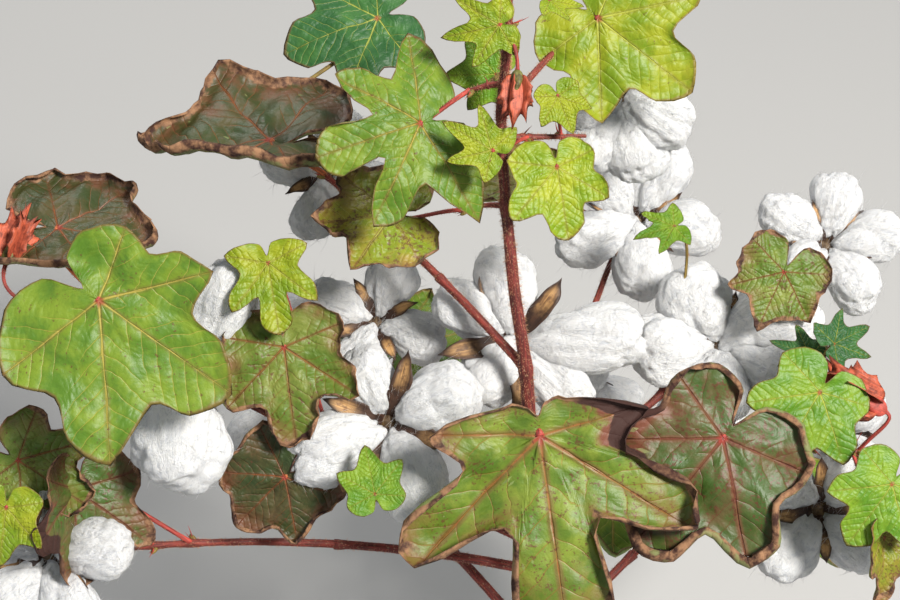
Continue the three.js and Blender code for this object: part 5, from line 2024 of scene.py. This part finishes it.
@dataclass
class Studio:
    """Floor, lights and camera of the picture, in metres."""

    floor_side: float = 30.0
    lens: float = 72.0
    sensor: float = 36.0
    eye: Triple = (-0.035, -0.5674, 1.1154)
    target: Triple = (-0.035, 0.069, 0.479)
    air: Triple = (0.88, 0.93, 1.0)
    air_strength: float = 0.34

    def build(self) -> None:
        """Makes the floor, the lights and the camera."""
        self.floor()
        self.light("key_light", (1.15, -0.95, 2.35), 0.5, 106.0, (1.0, 0.97, 0.92))
        self.light("fill_light", (-1.9, -1.4, 1.3), 1.8, 7.0, (0.93, 0.96, 1.0))
        self.light("back_light", (-0.8, 1.9, 1.9), 1.0, 22.0, (1.0, 0.98, 0.94))
        world = bpy.data.worlds.new("studio_air")
        world.use_nodes = True
        sky = world.node_tree.nodes["Background"]
        sky.inputs["Color"].default_value = (*self.air, 1)
        sky.inputs["Strength"].default_value = self.air_strength
        bpy.context.scene.world = world
        bpy.context.scene.view_settings.view_transform = "Standard"
        self.camera()

    def floor(self) -> None:
        """Adds the plain floor, which is no part of the plant."""
        bm = bmesh.new()
        bmesh.ops.create_grid(bm, x_segments=2, y_segments=2, size=self.floor_side / 2)
        mesh = bpy.data.meshes.new("studio_floor")
        bm.to_mesh(mesh)
        bm.free()
        mesh.materials.append(FloorFinish().material())
        floor = bpy.data.objects.new("studio_floor", mesh)
        bpy.context.scene.collection.objects.link(floor)

    def aimed(self, name: str, data: bpy.types.ID, place: Sequence[float]) -> Thing:
        """Places a lamp or camera so that it looks at the crown, and gives it."""
        thing = bpy.data.objects.new(name, data)
        thing.location = place
        thing.rotation_euler = (Vector(self.target) - Vector(place)).to_track_quat("-Z", "Y").to_euler()
        bpy.context.scene.collection.objects.link(thing)
        return thing

    def light(self, name: str, place: Sequence[float], size: float, power: float, colour: Triple) -> None:
        """Adds one soft square light aimed at the crown."""
        lamp = bpy.data.lights.new(name, "AREA")
        lamp.shape, lamp.size, lamp.energy, lamp.color = "SQUARE", size, power, colour
        self.aimed(name, lamp, place)

    def camera(self) -> None:
        """Adds the camera at the photograph's viewing angle."""
        lens = bpy.data.cameras.new("view_camera")
        lens.lens, lens.sensor_width = self.lens, self.sensor
        lens.clip_start, lens.clip_end = 0.02, 50.0
        bpy.context.scene.camera = self.aimed("view_camera", lens, self.eye)


def main() -> None:
    """Builds the plant and its studio."""
    logging.basicConfig(level=logging.INFO, format="%(name)s: %(message)s")
    plan = Plan()
    Studio().build()
    stem = MainStem().build()
    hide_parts("main_stem")
    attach(stem, BODY)
    boughs, twigs, blades, fluff, burs, squares = Boughs(), Twigs(), Blades(), Fluff(), Burs(), Squares()
    for shoot in SHOOTS:
        own = {
            kind: [organ for organ in organs if organ.shoot == shoot.name]
            for kind, organs in (("leaves", plan.leaves), ("bolls", plan.bolls), ("squares", plan.squares))
        }
        carrier = twigs.build(shoot, own["leaves"], own["bolls"], own["squares"])
        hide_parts(f"mass_{shoot.name}")
        pieces = [(carrier, "bark")]
        if shoot.bough > 0:
            bough = boughs.build(shoot)
            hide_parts(f"bough_{shoot.name}")
            pieces.append((bough, "bark"))
        if own["leaves"]:
            pieces.append((blades.build(shoot, own["leaves"]), "foliage"))
        if own["bolls"]:
            pieces.append((fluff.build(shoot, own["bolls"]), "foliage"))
            pieces.append((burs.build(shoot, own["bolls"]), "foliage"))
        if own["squares"]:
            pieces.append((squares.build(shoot, own["squares"]), "foliage"))
        for piece, slot in pieces:
            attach(piece, BODY)
    meshes = [thing.data for thing in bpy.data.objects if thing.type == "MESH" and not thing.hide_render]
    log.info("all pieces: %d triangles", sum(len(mesh.polygons) for mesh in meshes))
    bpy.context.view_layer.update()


if __name__ == "__main__":
    main()
